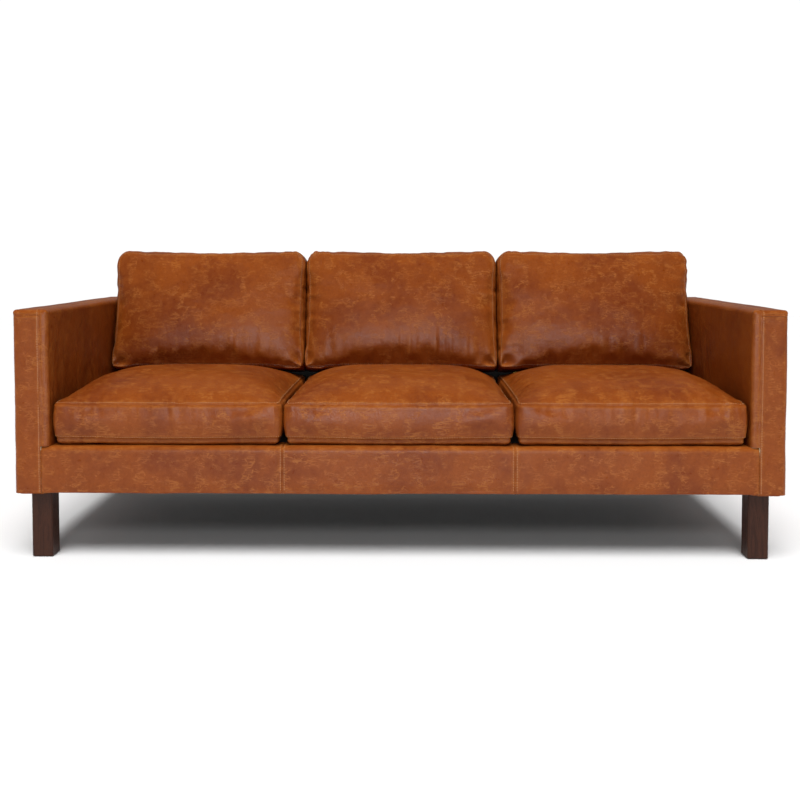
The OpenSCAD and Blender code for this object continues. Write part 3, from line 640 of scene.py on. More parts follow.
class CushionShape:
    """A boxed cushion, lying flat: its pattern, and the plump form that it is made to."""

    def __init__(self, width, length, border, crown, cell, peak, corners, bellies, rooms):
        self.half = width / 2, length / 2
        self.border, self.crown, self.cell, self.peak = border, crown, cell, peak
        # radii of the low-y and high-y corners; how boxy the crown is across, before and behind its peak;
        # and how far the leather may pass the pattern's box: each way along x, at low y and at high y
        self.corners, self.bellies, self.rooms = corners, bellies, rooms
        self.stitch_inset = 0.005
        self.low_seam = 0.014

    def pattern(self):
        """The vertices and faces of the cushion's flat-sided pattern."""
        near = self.stitch_inset
        xs = steps(-self.half[0], self.half[0], self.cell, near)
        ys = steps(-self.half[1], self.half[1], self.cell, near)
        zs = np.concatenate([[0, self.low_seam],
                             steps(self.low_seam + near, self.border - near, self.cell), [self.border]])
        return box_skin(xs, ys, zs)

    def form(self, grid):
        """The plump form of the pattern, drawn in a little all over."""
        shrink = 0.0005
        half = self.half
        points = round_plan(grid, half, self.corners)
        sx, sy = grid[:, 0] / half[0], grid[:, 1] / half[1]
        top = grid[:, 2] > self.border - 1e-6
        across, before, behind = self.bellies
        past = sy > self.peak
        away = np.where(past, (sy - self.peak) / (1 - self.peak), (self.peak - sy) / (1 + self.peak))
        rise = (1 - np.abs(sx) ** across) * (1 - away ** np.where(past, behind, before))
        points[top, 2] += self.crown * rise[top]
        # the sides pull in between the corners and swell between the two seams
        edge = plan_outward(points, half, self.corners)
        t = np.clip(grid[:, 2] / self.border, 0, 1)
        swell = 0.005 * np.sin(np.pi * t) - 0.008 * (1 - t) ** 4 - 0.001
        inner = np.minimum(half[0] - np.abs(grid[:, 0]), half[1] - np.abs(grid[:, 1]))
        fade = np.clip(1 - inner / 0.10, 0, 1) ** 2
        points += edge * ((swell - shrink) * fade)[:, None]
        points[:, 2] -= np.where(top, shrink * 0.6, 0)
        return points


def simulate(cushions, look):
    """Fills the cushions with air as cloth, all at once, and returns where their vertices went."""
    scene = bpy.context.scene
    for obj in cushions:
        cloth = obj.modifiers.new("Filling", "CLOTH")
        s = cloth.settings
        s.quality = 5
        s.mass = 0.35
        s.air_damping = 4.0
        s.tension_stiffness = s.compression_stiffness = 25.0
        s.shear_stiffness = 12.0
        s.bending_stiffness = 3.0
        s.tension_damping = s.compression_damping = s.shear_damping = 12.0
        s.use_pressure = True
        s.uniform_pressure_force = look.filling_pressure
        s.effector_weights.gravity = 0
        s.vertex_group_shrink = "sewn"
        s.shrink_min = -0.012
        s.shrink_max = 0.004
        cloth.collision_settings.use_collision = False
        cloth.collision_settings.use_self_collision = False
        cloth.point_cache.frame_start = 1
        cloth.point_cache.frame_end = look.filling_frames
    for number in range(1, look.filling_frames + 1):
        scene.frame_set(number)
    graph = bpy.context.evaluated_depsgraph_get()
    filled = [read(obj.evaluated_get(graph).data) for obj in cushions]
    for obj in cushions:
        obj.modifiers.clear()
    scene.frame_set(1)
    return filled


def mark_sewn(obj, grid, shape):
    """A vertex group of the sewn edges, which draw together while the panels stay loose."""
    hx, hy = shape.half
    depth = np.minimum(hx - np.abs(grid[:, 0]), hy - np.abs(grid[:, 1]))
    edge = depth < 1e-4
    top = edge & (grid[:, 2] > shape.border - 1e-4)
    low = edge & (np.abs(grid[:, 2] - shape.low_seam) < 1e-4)
    group = obj.vertex_groups.new(name="sewn")
    group.add([int(i) for i in np.nonzero(top | low)[0]], 1.0, "REPLACE")


def cushion_detail(obj, shape, seed):
    """Seam grooves and puckers on a filled cushion. Gives back its pattern and its pale marks: rubbed leather, and
    painted highlight on the seam lips and pucker crests.
    """
    mesh = obj.data
    grid, points, normals = read(mesh, "pattern"), read(mesh), normals_of(mesh)
    hx, hy = shape.half
    depth = np.minimum(hx - np.abs(grid[:, 0]), hy - np.abs(grid[:, 1]))
    # the nearest point on the outline, which stays the same along a pucker
    to_x = hx - np.abs(grid[:, 0]) < hy - np.abs(grid[:, 1])
    rim = np.where(to_x[:, None], np.stack([np.sign(grid[:, 0]) * hx, grid[:, 1]], 1),
                   np.stack([grid[:, 0], np.sign(grid[:, 1]) * hy], 1))
    on_top = grid[:, 2] > shape.border - 1e-5
    on_low = grid[:, 2] < shape.low_seam
    from_top = np.where(on_top, depth, shape.border - grid[:, 2])
    from_low = np.where(on_low, depth + shape.low_seam - grid[:, 2], grid[:, 2] - shape.low_seam)
    move = np.zeros(len(points))
    rub_and_highlight = np.zeros(len(points))
    slant = rim + 0.25 * wave_noise(rim, 0.21, seed + 5)[:, None] * from_top[:, None]
    ridges = wave_noise(slant, 0.017, seed) + 0.6 * wave_noise(slant, 0.009, seed + 1)
    where = np.clip(wave_noise(rim, 0.14, seed + 2) + 0.55, 0, 1.3)
    for gap, reach, size in ((from_top, 0.034, 0.0030), (from_low, 0.018, 0.0012)):
        fade = np.exp(-gap / reach) * smooth_step(0.0, 0.008, gap)
        move += size * ridges * where * fade
        # pucker crests painted lighter: painted highlight and pull-up lightening
        rub_and_highlight += 0.45 * np.clip(ridges, 0, 1) * where * fade
        move += -0.0026 * np.exp(-((gap / 0.0030) ** 2)) + 0.0009 * np.exp(-(((gap - 0.008) / 0.005) ** 2))
        # the lips beside each seam painted lighter: painted highlight and rubbed leather
        rub_and_highlight += 0.5 * np.exp(-(((gap - 0.0065) / 0.004) ** 2))
    # slack leather: long soft folds over the top
    slack = fractal(np.stack([points[:, 0] * 1.0, points[:, 1] * 1.7, points[:, 2]], 1), 0.11, seed + 7, 3)
    move += 0.0016 * slack * np.where(on_top, smooth_step(0.0, 0.06, depth), 0.5)
    points += normals * move[:, None]
    write(mesh, points)
    return grid, rub_and_highlight


def seat_crease(points, grid, shape, seed):
    """Shallow creases that run back from the front seam over the top; gives back their crests painted lighter, as
    painted highlight and pull-up lightening.
    """
    on_top = grid[:, 2] > shape.border - 1e-5
    front = (grid[:, 1] + shape.half[1])
    bend = wave_noise(np.stack([grid[:, 0], grid[:, 1]], 1), 0.16, seed + 31)
    lines = wave_noise((grid[:, 0] + 0.35 * front * bend)[:, None], 0.022, seed + 33)
    fade = np.exp(-front / 0.085) * smooth_step(0.004, 0.03, front)
    amount = 0.0026 * np.clip(wave_noise(grid[:, :1], 0.19, seed + 35) + 0.45, 0, 1) * lines * fade
    points[:, 2] += np.where(on_top, amount, 0)
    # crease crests painted lighter: painted highlight and pull-up lightening
    return np.where(on_top, 0.35 * np.clip(lines, 0, 1) * fade, 0)


def belly_creases(points, grid, shape, seed):
    """Short upright creases low on a back cushion, where it bulges over the seat; gives back their crests painted
    lighter, as painted highlight and pull-up lightening.
    """
    on_front = grid[:, 2] > shape.border - 1e-5
    up = grid[:, 1] + shape.half[1]
    bend = wave_noise(grid[:, :2], 0.12, seed + 21)
    lines = wave_noise((grid[:, 0] + 0.14 * up * bend)[:, None], 0.019, seed + 23)
    lines += 0.6 * wave_noise((grid[:, 0] - 0.10 * up * bend)[:, None], 0.010, seed + 24)
    fade = smooth_step(0.006, 0.05, up) * np.exp(-(((up - 0.05) / 0.06) ** 2))
    amount = fade * np.clip(wave_noise(grid[:, :1], 0.15, seed + 25) + 0.5, 0, 1.2)
    points[:, 2] += np.where(on_front, 0.0027 * lines * amount, 0)
    # crease crests painted lighter: painted highlight and pull-up lightening
    return np.where(on_front, 0.4 * np.clip(lines, 0, 1) * amount, 0)


def corner_folds(points, grid, shape, seed):
    """Pinched folds that fan out of a back cushion's two lower front corners; gives back their crests and pinches
    painted lighter, as painted highlight and pull-up lightening.
    """
    rub_and_highlight = np.zeros(len(points))
    on_front = grid[:, 2] > shape.border - 1e-5
    for side in (-1, 1):
        dx = shape.half[0] - side * grid[:, 0]
        dy = grid[:, 1] + shape.half[1]
        far = np.hypot(dx, dy)
        angle = np.arctan2(dy, np.maximum(dx, 1e-6))
        fan = np.sin(angle * (5.0 + side * 0.8) + seed + side)
        fade = np.exp(-((far / 0.060) ** 2)) * smooth_step(0.004, 0.022, far)
        pinch = np.exp(-((far / 0.030) ** 2))
        points[:, 2] += np.where(on_front, 0.0075 * fan * fade, 0)
        points[:, 0] += np.where(on_front, side * 0.0022 * pinch, 0)
        # fold crests and pinches painted lighter: painted highlight and pull-up lightening
        rub_and_highlight += np.where(on_front, 0.7 * np.clip(fan, 0, 1) * fade + 0.3 * pinch, 0)
    return rub_and_highlight


def hold_inside(points, shape):
    """Presses points back to a cushion's room, so that what would pass a face lies flat on it."""
    side, low, high = shape.rooms
    (hx, hy), limits = shape.half, points.max(axis=0) + 1
    points[:] = np.clip(points, (-hx - side, -hy - low, 0), (hx + side, hy + high, limits[2]))


def make_cushions(jobs, look):
    """Cuts and fills cushions. A job is (name, shape, placing matrix, seed, kind)."""
    made = []
    for name, shape, *_ in jobs:
        grid, faces = shape.pattern()
        obj = make_object(name, shape.form(grid), faces, grid)
        mark_sewn(obj, grid, shape)
        made.append((obj, shape))
    filled = simulate([obj for obj, _ in made], look)
    for (obj, _), now in zip(made, filled):
        start = read(obj.data)
        moved = now - start
        length = np.linalg.norm(moved, axis=1, keepdims=True)
        moved *= np.minimum(1, look.filling_cap / np.maximum(length, 1e-9))
        write(obj.data, start + moved)
    return made


def lay_cushion(obj, shape, placing, seed, kind):
    """Presses, smooths and details one filled cushion, and puts it in its place."""
    points = read(obj.data)
    hold_inside(points, shape)
    write(obj.data, points)
    subdivide(obj)
    grid, rub_and_highlight = cushion_detail(obj, shape, seed)
    points = read(obj.data)
    if kind == "seat":
        rub_and_highlight += seat_crease(points, grid, shape, seed)
    else:
        rub_and_highlight += corner_folds(points, grid, shape, seed) + belly_creases(points, grid, shape, seed)
    hold_inside(points, shape)
    write(obj.data, points)
    mark_rub_and_highlight(obj, rub_and_highlight)
    top_seam = ring_line(obj.data, grid, shape.half, shape.stitch_inset, shape.border)
    low_seam = ring_line(obj.data, grid, shape.half, 0.0, shape.low_seam + shape.stitch_inset)
    thread = sew(obj.name + "_stitching", [(*top_seam, True), (*low_seam, True)])
    piping = None
    if kind == "back":
        edge = ring_line(obj.data, grid, shape.half, 0.0, shape.border)
        piping = welt(obj.name + "_seam_welt", *edge, radius=WELT_RADIUS, sink=0.1)
    for piece in (obj, thread, piping):
        if piece is not None:
            piece.data.transform(placing)
            piece.data.update()
    return thread, piping


def seat_job(place, look):
    """What a seat cushion is cut to, where it lies, and the seed of its creases."""
    low, high = (np.array(c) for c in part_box(place + "_seat_cover"))
    width, length = high[0] - low[0], high[1] - low[1]
    border = (high[2] - low[2]) - look.seat_crown
    shape = CushionShape(width, length, border, look.seat_crown, look.leather_cell, peak=-0.05,
                         corners=(0.024, 0.034), bellies=(4.4, 3.4, 2.0), rooms=(0.0014, 0.006, 0.0))
    placing = Matrix.Translation(((low[0] + high[0]) / 2, (low[1] + high[1]) / 2, low[2]))
    return place + "_seat_leather", shape, placing, 3 + 7 * PLACES.index(place), "seat"


def back_lean():
    """The back cushions' lean from upright, from the way they lift out."""
    for joint in frame["joints"]:
        if joint["name"] == "middle_back_lift_out":
            return math.atan2(joint["axis"][1], joint["axis"][2])
    raise RuntimeError("the frame has no joint that lifts a back cushion out")


def back_job(place, look):
    """A back cushion lies on its rear face in its own frame, and its crowned front looks up."""
    lean = back_lean()
    own = Matrix.Rotation(-lean, 3, "X") @ Matrix.Rotation(math.pi / 2, 3, "X")
    turn = np.array(own)
    points = read(frame["nodes"][place + "_back_cushion_cover"].data) @ turn
    low, high = points.min(axis=0), points.max(axis=0)
    width, length = high[0] - low[0], high[1] - low[1]
    border = (high[2] - low[2]) - look.back_crown
    shape = CushionShape(width, length, border, look.back_crown, look.leather_cell, peak=-0.34,
                         corners=(0.014, 0.040), bellies=(3.4, 2.2, 1.8), rooms=(0.0014, 0.0005, 0.005))
    middle = turn @ np.array([(low[0] + high[0]) / 2, (low[1] + high[1]) / 2, low[2]])
    placing = Matrix.Translation(Vector(middle)) @ own.to_4x4()
    return place + "_back_leather", shape, placing, 41 + 9 * PLACES.index(place), "back"


def upholster(jobs, bodies, replaced, look):
    """Makes a row of cushions, each on its body and in place of the frame's own pieces."""
    made = make_cushions(jobs, look)
    for (obj, shape), (*_, placing, seed, kind), body, nodes in zip(made, jobs, bodies, replaced):
        thread, piping = lay_cushion(obj, shape, placing, seed, kind)
        finish_piece(obj, material("pull_up_leather"), body, nodes)
        finish_piece(thread, material("waxed_thread"), body)
        if piping is not None:
            finish_piece(piping, material("pull_up_leather"), body)


# ---------------------------------------------------------------- arms, rails and back


def round_edges(grid, low, high, radius):
    """Rounds a box's upright and upper edges, and its corners a little less."""
    inner = np.clip(grid, np.array(low) + radius, np.array(high) - radius)
    inner[:, 2] = np.minimum(grid[:, 2], high[2] - radius)
    away = grid - inner
    size = np.linalg.norm(away, axis=1, keepdims=True)
    corner = np.cbrt(np.prod(np.abs(away), axis=1, keepdims=True)) / np.maximum(size, 1e-9)
    out = np.where(size > 1e-9, radius * (1 + 0.6 * corner ** 2), 0)
    return inner + away / np.maximum(size, 1e-9) * out


def edge_lines(low, high, radius, pitch=CELL):
    """Places along one side of a padded block: close together round its edges."""
    bend = [0.0, 0.25, 0.5, 0.75, 1.0]
    return np.concatenate([[low + radius * b for b in bend],
                           steps(low + radius, high - radius, pitch)[1:-1],
                           [high - radius * b for b in reversed(bend)]])


def seam_groove(gap):
    """How far leather moves at a gap from a seam: a narrow groove between two soft lips."""
    return -0.0019 * np.exp(-((gap / 0.0021) ** 2)) + 0.0006 * np.exp(-(((gap - 0.006) / 0.004) ** 2))


def seam_rub_and_highlight(gap):
    """How much lighter leather is painted at a gap from a seam, most on the lips beside it: partly rubbed leather,
    partly painted highlight.
    """
    return np.exp(-(((gap - 0.005) / 0.004) ** 2))


def make_arm(side, look):
    """One arm's leather: its panels, and a strip down the front and over the top."""
    name = "left" if side < 0 else "right"
    low, high = (np.array(c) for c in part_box(name + "_arm_cover"))
    rail_low, rail_high = (np.array(c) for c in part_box("front_rail_cover"))
    inner_x = high[0] if side < 0 else low[0]
    seam_x = side * rail_high[0]
    radius = look.edge_radius
    xs = with_lines(edge_lines(low[0], high[0], radius), [seam_x + d for d in SEAM_SPREAD])
    ys = edge_lines(low[1], high[1], radius)
    cross = high[2] - radius - 0.002
    zs = with_lines(np.concatenate([[low[2], low[2] + 0.0005, low[2] + 0.004],
                                    edge_lines(low[2], high[2], radius)[6:]]),
                    [cross + d for d in SEAM_SPREAD])
    layer = rail_low[1] + RAIL_LAYER
    between = sorted((inner_x, seam_x))
    hem = look.hem

    def keep(x, y, z):
        if z <= low[2] + 1e-6:
            return not (low[0] + hem < x < high[0] - hem and low[1] + hem < y < high[1] - hem)
        in_notch = between[0] - 1e-6 < x < between[1] + 1e-6 and y < layer and z < rail_high[2]
        return not in_notch

    zs = with_lines(zs, [rail_high[2]])
    xs = with_lines(xs, [low[0] + hem, high[0] - hem])
    ys = with_lines(ys, [low[1] + hem, high[1] - hem, layer])
    grid, faces = box_skin(xs, ys, zs, keep)
    points = round_edges(grid, low, high, radius)
    obj = make_object(name + "_arm_leather", points, faces, grid)
    thicken(obj, LEATHER)
    subdivide(obj)
    mesh = obj.data
    grid, points, normals = read(mesh, "pattern"), read(mesh), normals_of(mesh)
    seed = 71 + side
    middle = (low + high) / 2
    on_inner = smooth_step(0.0, 0.004, side * (middle[0] - grid[:, 0]) - (high[0] - low[0]) / 2 + 0.006)
    drape = wave_noise((grid[:, 1] + 0.05 * wave_noise(grid[:, 2:], 0.2, seed))[:, None], 0.016, seed + 2)
    drape += 0.7 * wave_noise(grid[:, 1:2], 0.035, seed + 3)
    amount = np.clip(wave_noise(grid[:, 1:], 0.17, seed + 4) + 0.4, 0, 1)
    top_fade = smooth_step(0.0, 0.10, high[2] - grid[:, 2])
    move = 0.0009 * drape * amount * on_inner * top_fade
    move += 0.0013 * fractal(points, 0.16, seed + 6, 3)
    on_front = grid[:, 1] < low[1] + ON_FACE
    on_seamed = on_front | (grid[:, 2] > high[2] - ON_FACE) | (grid[:, 1] > high[1] - ON_FACE)
    gap = np.where(on_seamed, np.abs(grid[:, 0] - seam_x), 1.0)
    on_strip = side * (grid[:, 0] - seam_x) > -1e-6
    cross_gap = np.where(on_front & on_strip, np.abs(grid[:, 2] - cross), 1.0)
    move += seam_groove(gap) + seam_groove(cross_gap)
    pucker = wave_noise(np.stack([grid[:, 1], grid[:, 2]], 1), 0.013, seed + 8)
    move += 0.0007 * pucker * np.exp(-gap / 0.014)
    # the seam lips painted lighter: rubbed leather and painted highlight
    rub_and_highlight = 0.45 * seam_rub_and_highlight(gap) + 0.4 * seam_rub_and_highlight(cross_gap)
    edge = np.minimum(np.abs(grid[:, 1] - low[1]), np.abs(high[2] - grid[:, 2]))
    rim = np.minimum(np.abs(grid[:, 0] - low[0]), np.abs(grid[:, 0] - high[0]))
    rub_and_highlight += 0.30 * np.exp(-((edge - 0.004) / 0.007) ** 2) * np.exp(-((rim - 0.004) / 0.007) ** 2)
    # the crests of the inner arm's drape painted lighter: painted highlight and pull-up lightening
    rub_and_highlight += 0.2 * on_inner * np.clip(drape, 0, 1) * amount
    points += normals * move[:, None]
    write(mesh, points)
    mark_rub_and_highlight(obj, rub_and_highlight)
    line = arm_stitch_line(obj, grid, low, high, seam_x + side * STITCH_OFFSET)
    thread = sew(name + "_arm_stitching", [line])
    finish_piece(obj, material("pull_up_leather"), "root", (name + "_arm_cover",))
    finish_piece(thread, material("waxed_thread"), "root")


def arm_stitch_line(obj, grid, low, high, stitch_x):
    """The line of stitches beside the strip's seam, up the front and back over the top."""
    points, normals = read(obj.data), normals_of(obj.data)
    outward = np.sum(normals * (points - (low + high) / 2), axis=1) > 0
    on = (np.abs(grid[:, 0] - stitch_x) < ON_LINE) & outward
    front = np.nonzero(on & (grid[:, 1] < low[1] + ON_FACE) & (grid[:, 2] > low[2] + 0.001))[0]
    over = np.nonzero(on & (grid[:, 2] > high[2] - ON_FACE) & (grid[:, 1] > low[1] + ON_FACE))[0]
    chain = np.concatenate([front[np.argsort(grid[front, 2])], over[np.argsort(grid[over, 1])]])
    return points[chain], normals[chain], False


def sweep(profile, xs):
    """A skin swept along X: profile is a list of (y, z), front first and then up."""
    profile = np.asarray(profile, float)
    points = np.array([(x, y, z) for x in xs for y, z in profile])
    count = len(profile)
    faces = []
    for i in range(len(xs) - 1):
        for k in range(count - 1):
            a = i * count + k
            faces.append((a, a + count, a + count + 1, a + 1))
    run = np.concatenate([[0], np.cumsum(np.linalg.norm(np.diff(profile, axis=0), axis=1))])
    pattern = np.array([(x, r, k) for x in xs for k, r in enumerate(run)], float)
    return points, faces, pattern


def bend_points(middle, radius, start, end, count=5):
    """Points round a bend in the YZ plane, angles in degrees."""
    return [(middle[0] + radius * math.cos(math.radians(a)), middle[1] + radius * math.sin(math.radians(a)))
            for a in np.linspace(start, end, count)]


def straight(start, end, pitch=CELL):
    """Points from start towards end, without the end."""
    start, end = np.array(start, float), np.array(end, float)
    count = max(1, round(np.linalg.norm(end - start) / pitch))
    return [tuple(start + (end - start) * i / count) for i in range(count)]


def make_front_rail(look):
    """The front rail's leather in three sewn lengths, with its edge rolled over the top."""
    low, high = (np.array(c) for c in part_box("front_rail_cover"))
    inner_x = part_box("right_arm_cover")[0][0]
    seat_low, seat_high = (np.array(c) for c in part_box("middle_seat_cover"))
    r = look.edge_radius
    hem = look.hem
    profile = straight((low[1] + hem, low[2] + 0.0004), (low[1] + 0.003, low[2]), 0.006)
    profile += bend_points((low[1] + 0.003, low[2] + 0.003), 0.003, -90, -180, 4)
    profile += straight((low[1], low[2] + 0.004), (low[1], high[2] - r), 0.0095)
    profile += bend_points((low[1] + r, high[2] - r), r, 180, 90, 6)
    profile += straight((low[1] + r + 0.004, high[2]), (high[1], high[2]), 0.010) + [(high[1], high[2])]
    seam = (seat_high[0] - seat_low[0]) / 2 + 0.002
    cuts = [s * seam + d for s in (-1, 1) for d in SEAM_SPREAD]
    xs = with_lines(steps(low[0], high[0], CELL), cuts + [-inner_x, inner_x])
    xs = np.concatenate([[low[0] - 0.006, low[0] - 0.001], xs, [high[0] + 0.001, high[0] + 0.006]])
    points, faces, pattern = sweep(profile, xs)
    under = np.abs(pattern[:, 0]) > high[0] + 0.0005
    back, up = low[1] + r - points[:, 1], points[:, 2] - (high[2] - r)
    square = under & (back > 0) & (up > 0)
    stretch = r / np.maximum(back, up)[square]
    points[square, 1] = low[1] + r - back[square] * stretch
    points[square, 2] = high[2] - r + up[square] * stretch
    points[under, 1] += 0.0022
    layer = low[1] + RAIL_LAYER
    middle = points[[f[0] for f in faces]] * 0.5 + points[[f[2] for f in faces]] * 0.5
    faces = [f for f, m in zip(faces, middle) if not (abs(m[0]) > inner_x and m[1] > layer)]
    obj = make_object("front_rail_leather", points, faces, pattern)
    thicken(obj, LEATHER)
    subdivide(obj)
    mesh = obj.data
    grid, points, normals = read(mesh, "pattern"), read(mesh), normals_of(mesh)
    gap = np.minimum(np.abs(grid[:, 0] - seam), np.abs(grid[:, 0] + seam))
    edge = high[0] - np.abs(grid[:, 0])
    plump = 0.0015 * smooth_step(0.0, 0.05, gap) * smooth_step(0.0, 0.03, points[:, 2] - low[2])
    move = plump + seam_groove(gap) + 0.0012 * fractal(points, 0.15, 91, 3)
    ridges = wave_noise(np.stack([points[:, 1], points[:, 2]], 1), 0.014, 93)
    move += 0.0008 * ridges * np.exp(-gap / 0.016)
    roll = np.clip(points[:, 2] - (high[2] - 0.030), 0, 1) / 0.030
    across = points[:, :1]
    lines = wave_noise(across + 0.2 * roll[:, None] * wave_noise(across, 0.1, 96)[:, None], 0.013, 95)
    move += 0.0006 * lines * np.clip(roll, 0, 1) * np.clip(wave_noise(across, 0.17, 97) + 0.4, 0, 1)
    move *= smooth_step(-0.001, 0.004, edge)
    # the seam lips and the rolled top edge painted lighter: rubbed leather and painted highlight; the outer ends
    # are rubbed wear
    rub_and_highlight = 0.5 * seam_rub_and_highlight(gap) + 0.35 * np.exp(-(((roll - 0.85) / 0.25) ** 2))
    rub_and_highlight += 0.3 * np.exp(-((edge - 0.003) / 0.004) ** 2)
    points += normals * move[:, None]
    write(mesh, points)
    mark_rub_and_highlight(obj, rub_and_highlight)
    points, normals = read(mesh), normals_of(mesh)
    outward = (normals[:, 1] < -0.2) | (normals[:, 2] > 0.3)
    stitch = []
    for s in (-1, 1):
        for d in (-STITCH_OFFSET, STITCH_OFFSET):
            on = np.abs(grid[:, 0] - s * seam - d) < ON_LINE
            on &= outward & (points[:, 1] < low[1] + r) & (grid[:, 1] > hem + 0.004)
            order = np.nonzero(on)[0]
            order = order[np.argsort(grid[order, 1])]
            stitch.append((points[order], normals[order], False))
    thread = sew("front_rail_stitching", stitch)
    finish_piece(obj, material("pull_up_leather"), "root", ("front_rail_cover",))
    finish_piece(thread, material("waxed_thread"), "root")


def make_outside_back(look):
    """The outside back's leather: over the rear, the rounded top and a way down the inside."""
    low, high = (np.array(c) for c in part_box("outside_back_cover"))
    arm_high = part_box("right_arm_cover")[1]
    lean = back_lean()
    r = look.edge_radius
    face_top = high[2] - r
    shell = read(frame["nodes"]["outside_back_cover"].data)
    at_top = shell[shell[:, 2] > face_top - 1e-4]
    front_y = at_top[:, 1].min() if len(at_top) else high[1] - 0.08
    return_l = look.back_facing
    foot = (front_y - math.sin(lean) * return_l, face_top - math.cos(lean) * return_l)
    profile = straight((high[1] - look.hem, low[2] + 0.0004), (high[1] - 0.003, low[2]), 0.006)
    profile += bend_points((high[1] - 0.003, low[2] + 0.003), 0.003, -90, 0, 4)
    seam_z = high[2] - 0.045
    rear = straight((high[1], low[2] + 0.004), (high[1], seam_z - 0.0046))
    rear += [(high[1], seam_z + d) for d in SEAM_SPREAD]
    profile += rear + straight((high[1], seam_z + 0.008), (high[1], high[2] - r))
    profile += bend_points((high[1] - r, high[2] - r), r, 0, 90, 6)
    profile += straight((high[1] - r - 0.004, high[2]), (front_y + r, high[2]))
    profile += bend_points((front_y + r, high[2] - r), r, 90, 180 - math.degrees(lean) * 0.5, 6)
    profile += straight(profile[-1], foot)[1:] + [foot]
    half = high[0] - 0.0004
    quarter = half / 3
    cuts = [s * quarter + d for s in (-1, 1) for d in SEAM_SPREAD]
    turn = 0.004
    xs = with_lines(edge_lines(-half, half, turn, 0.012), cuts)
    points, faces, pattern = sweep(profile, xs)
    faces = [f[::-1] for f in faces]
    # the ends turn in round a small radius above the arms
    bend = np.clip((np.abs(pattern[:, 0]) - (half - turn)) / turn, 0, 1)
    drop = turn * (1 - np.sqrt(1 - bend**2))
    obj = make_object("outside_back_leather", points, faces, pattern)
    inward = -normals_of(obj.data)
    drop *= smooth_step(arm_high[2] - 0.08, arm_high[2] - 0.03, points[:, 2])
    points = points + inward * drop[:, None]
    write(obj.data, points)
    thicken(obj, LEATHER)
    subdivide(obj)
    mesh = obj.data
    grid, points, normals = read(mesh, "pattern"), read(mesh), normals_of(mesh)
    gap = np.minimum(np.abs(grid[:, 0] - quarter), np.abs(grid[:, 0] + quarter))
    on_rear = normals[:, 1] > 0.6
    level = np.where(on_rear, np.abs(points[:, 2] - seam_z), 1.0)
    move = seam_groove(gap) + seam_groove(level) + 0.0014 * fractal(points, 0.2, 101, 3)
    move -= 0.0010
    # the seam lips painted lighter: rubbed leather and painted highlight
    rub_and_highlight = 0.4 * seam_rub_and_highlight(gap) + 0.4 * seam_rub_and_highlight(level)
    points += normals * move[:, None]
    write(mesh, points)
    mark_rub_and_highlight(obj, rub_and_highlight)
    points, normals = read(mesh), normals_of(mesh)
    on = (np.abs(points[:, 2] - (seam_z + STITCH_OFFSET)) < 8e-4) & (normals[:, 1] > 0.6)
    order = np.nonzero(on)[0]
    order = order[np.argsort(points[order, 0])][::2]
    thread = sew("outside_back_stitching", [(points[order], normals[order], False)])
    ends = make_back_ends(profile, half, arm_high[2])
    finish_piece(obj, material("pull_up_leather"), "root", ("outside_back_cover",))
    finish_piece(thread, material("waxed_thread"), "root")
    finish_piece(ends, material("pull_up_leather"), "root")


def make_back_ends(profile, half, arm_top):
    """The panels that close the back's ends, plump above the arms and flat beside them."""
    outline = np.array(profile)
    along = np.roll(outline, -1, axis=0) - np.roll(outline, 1, axis=0)
    inward = np.stack([-along[:, 1], along[:, 0]], 1)
    inward /= np.linalg.norm(inward, axis=1, keepdims=True)
    middle = outline.mean(axis=0)
    inner = outline + 0.010 * inward
    rings = [outline + 0.0024 * inward, outline + 0.005 * inward, inner]
    rings += [middle + (inner - middle) * share for share in (0.75, 0.5, 0.25)]
    points, faces, rub_and_highlight = [], [], []
    count = len(outline)
    for side in (-1, 1):
        base = len(points)
        for ring, puff in zip(rings, (0.0, 0.0012, 0.002, 0.0028, 0.003, 0.003)):
            for y, z in ring:
                lift = puff * float(smooth_step(arm_top + 0.004, arm_top + 0.03, z))
                points.append((side * (half - 0.0006 + lift), y, z))
                rub_and_highlight.append(0.35 if puff == 0.0 else 0.0)
        for ring in range(len(rings) - 1):
            for k in range(count):
                a, b = base + ring * count + k, base + ring * count + (k + 1) % count
                quad = (a, b, b + count, a + count)
                faces.append(quad if side > 0 else quad[::-1])
        last = [base + (len(rings) - 1) * count + k for k in range(count)]
        faces.append(last if side > 0 else last[::-1])
    obj = make_object("outside_back_end_panels", points, faces)
    mark_rub_and_highlight(obj, np.array(rub_and_highlight))
    return obj


# ---------------------------------------------------------------- stage


def make_backdrop():
    """A white shell round the studio that only the camera sees, so it lights nothing."""
    mesh = bpy.data.meshes.new("studio_backdrop")
    made = bmesh.new()
    bmesh.ops.create_icosphere(made, subdivisions=4, radius=BACKDROP_RADIUS)
    made.to_mesh(mesh)
    made.free()
    obj = bpy.data.objects.new("studio_backdrop", mesh)
    bpy.context.scene.collection.objects.link(obj)
    obj.visible_diffuse = obj.visible_glossy = obj.visible_transmission = obj.visible_shadow = False
    white, _, shader, _ = new_material("studio_backdrop")
    shader.inputs["Base Color"].default_value = (0, 0, 0, 1)
    shader.inputs["Emission Color"].default_value = (1, 1, 1, 1)
    shader.inputs["Emission Strength"].default_value = 1.0
    mesh.materials.append(white)


def place_camera(view):
    """A camera in front of the sofa, where the view's settings put it."""
    camera = bpy.data.cameras.new("view_from_the_front")
    obj = bpy.data.objects.new("view_from_the_front", camera)
    bpy.context.scene.collection.objects.link(obj)
    camera.lens = view.lens
    camera.sensor_width = SENSOR_WIDTH
    camera.shift_y = view.shift
    front = CAD_BOX[0][1]
    obj.location = (view.side, front - view.distance, view.height)
    obj.rotation_euler = (math.pi / 2 - view.tilt, 0, view.turn)
    bpy.context.scene.camera = obj


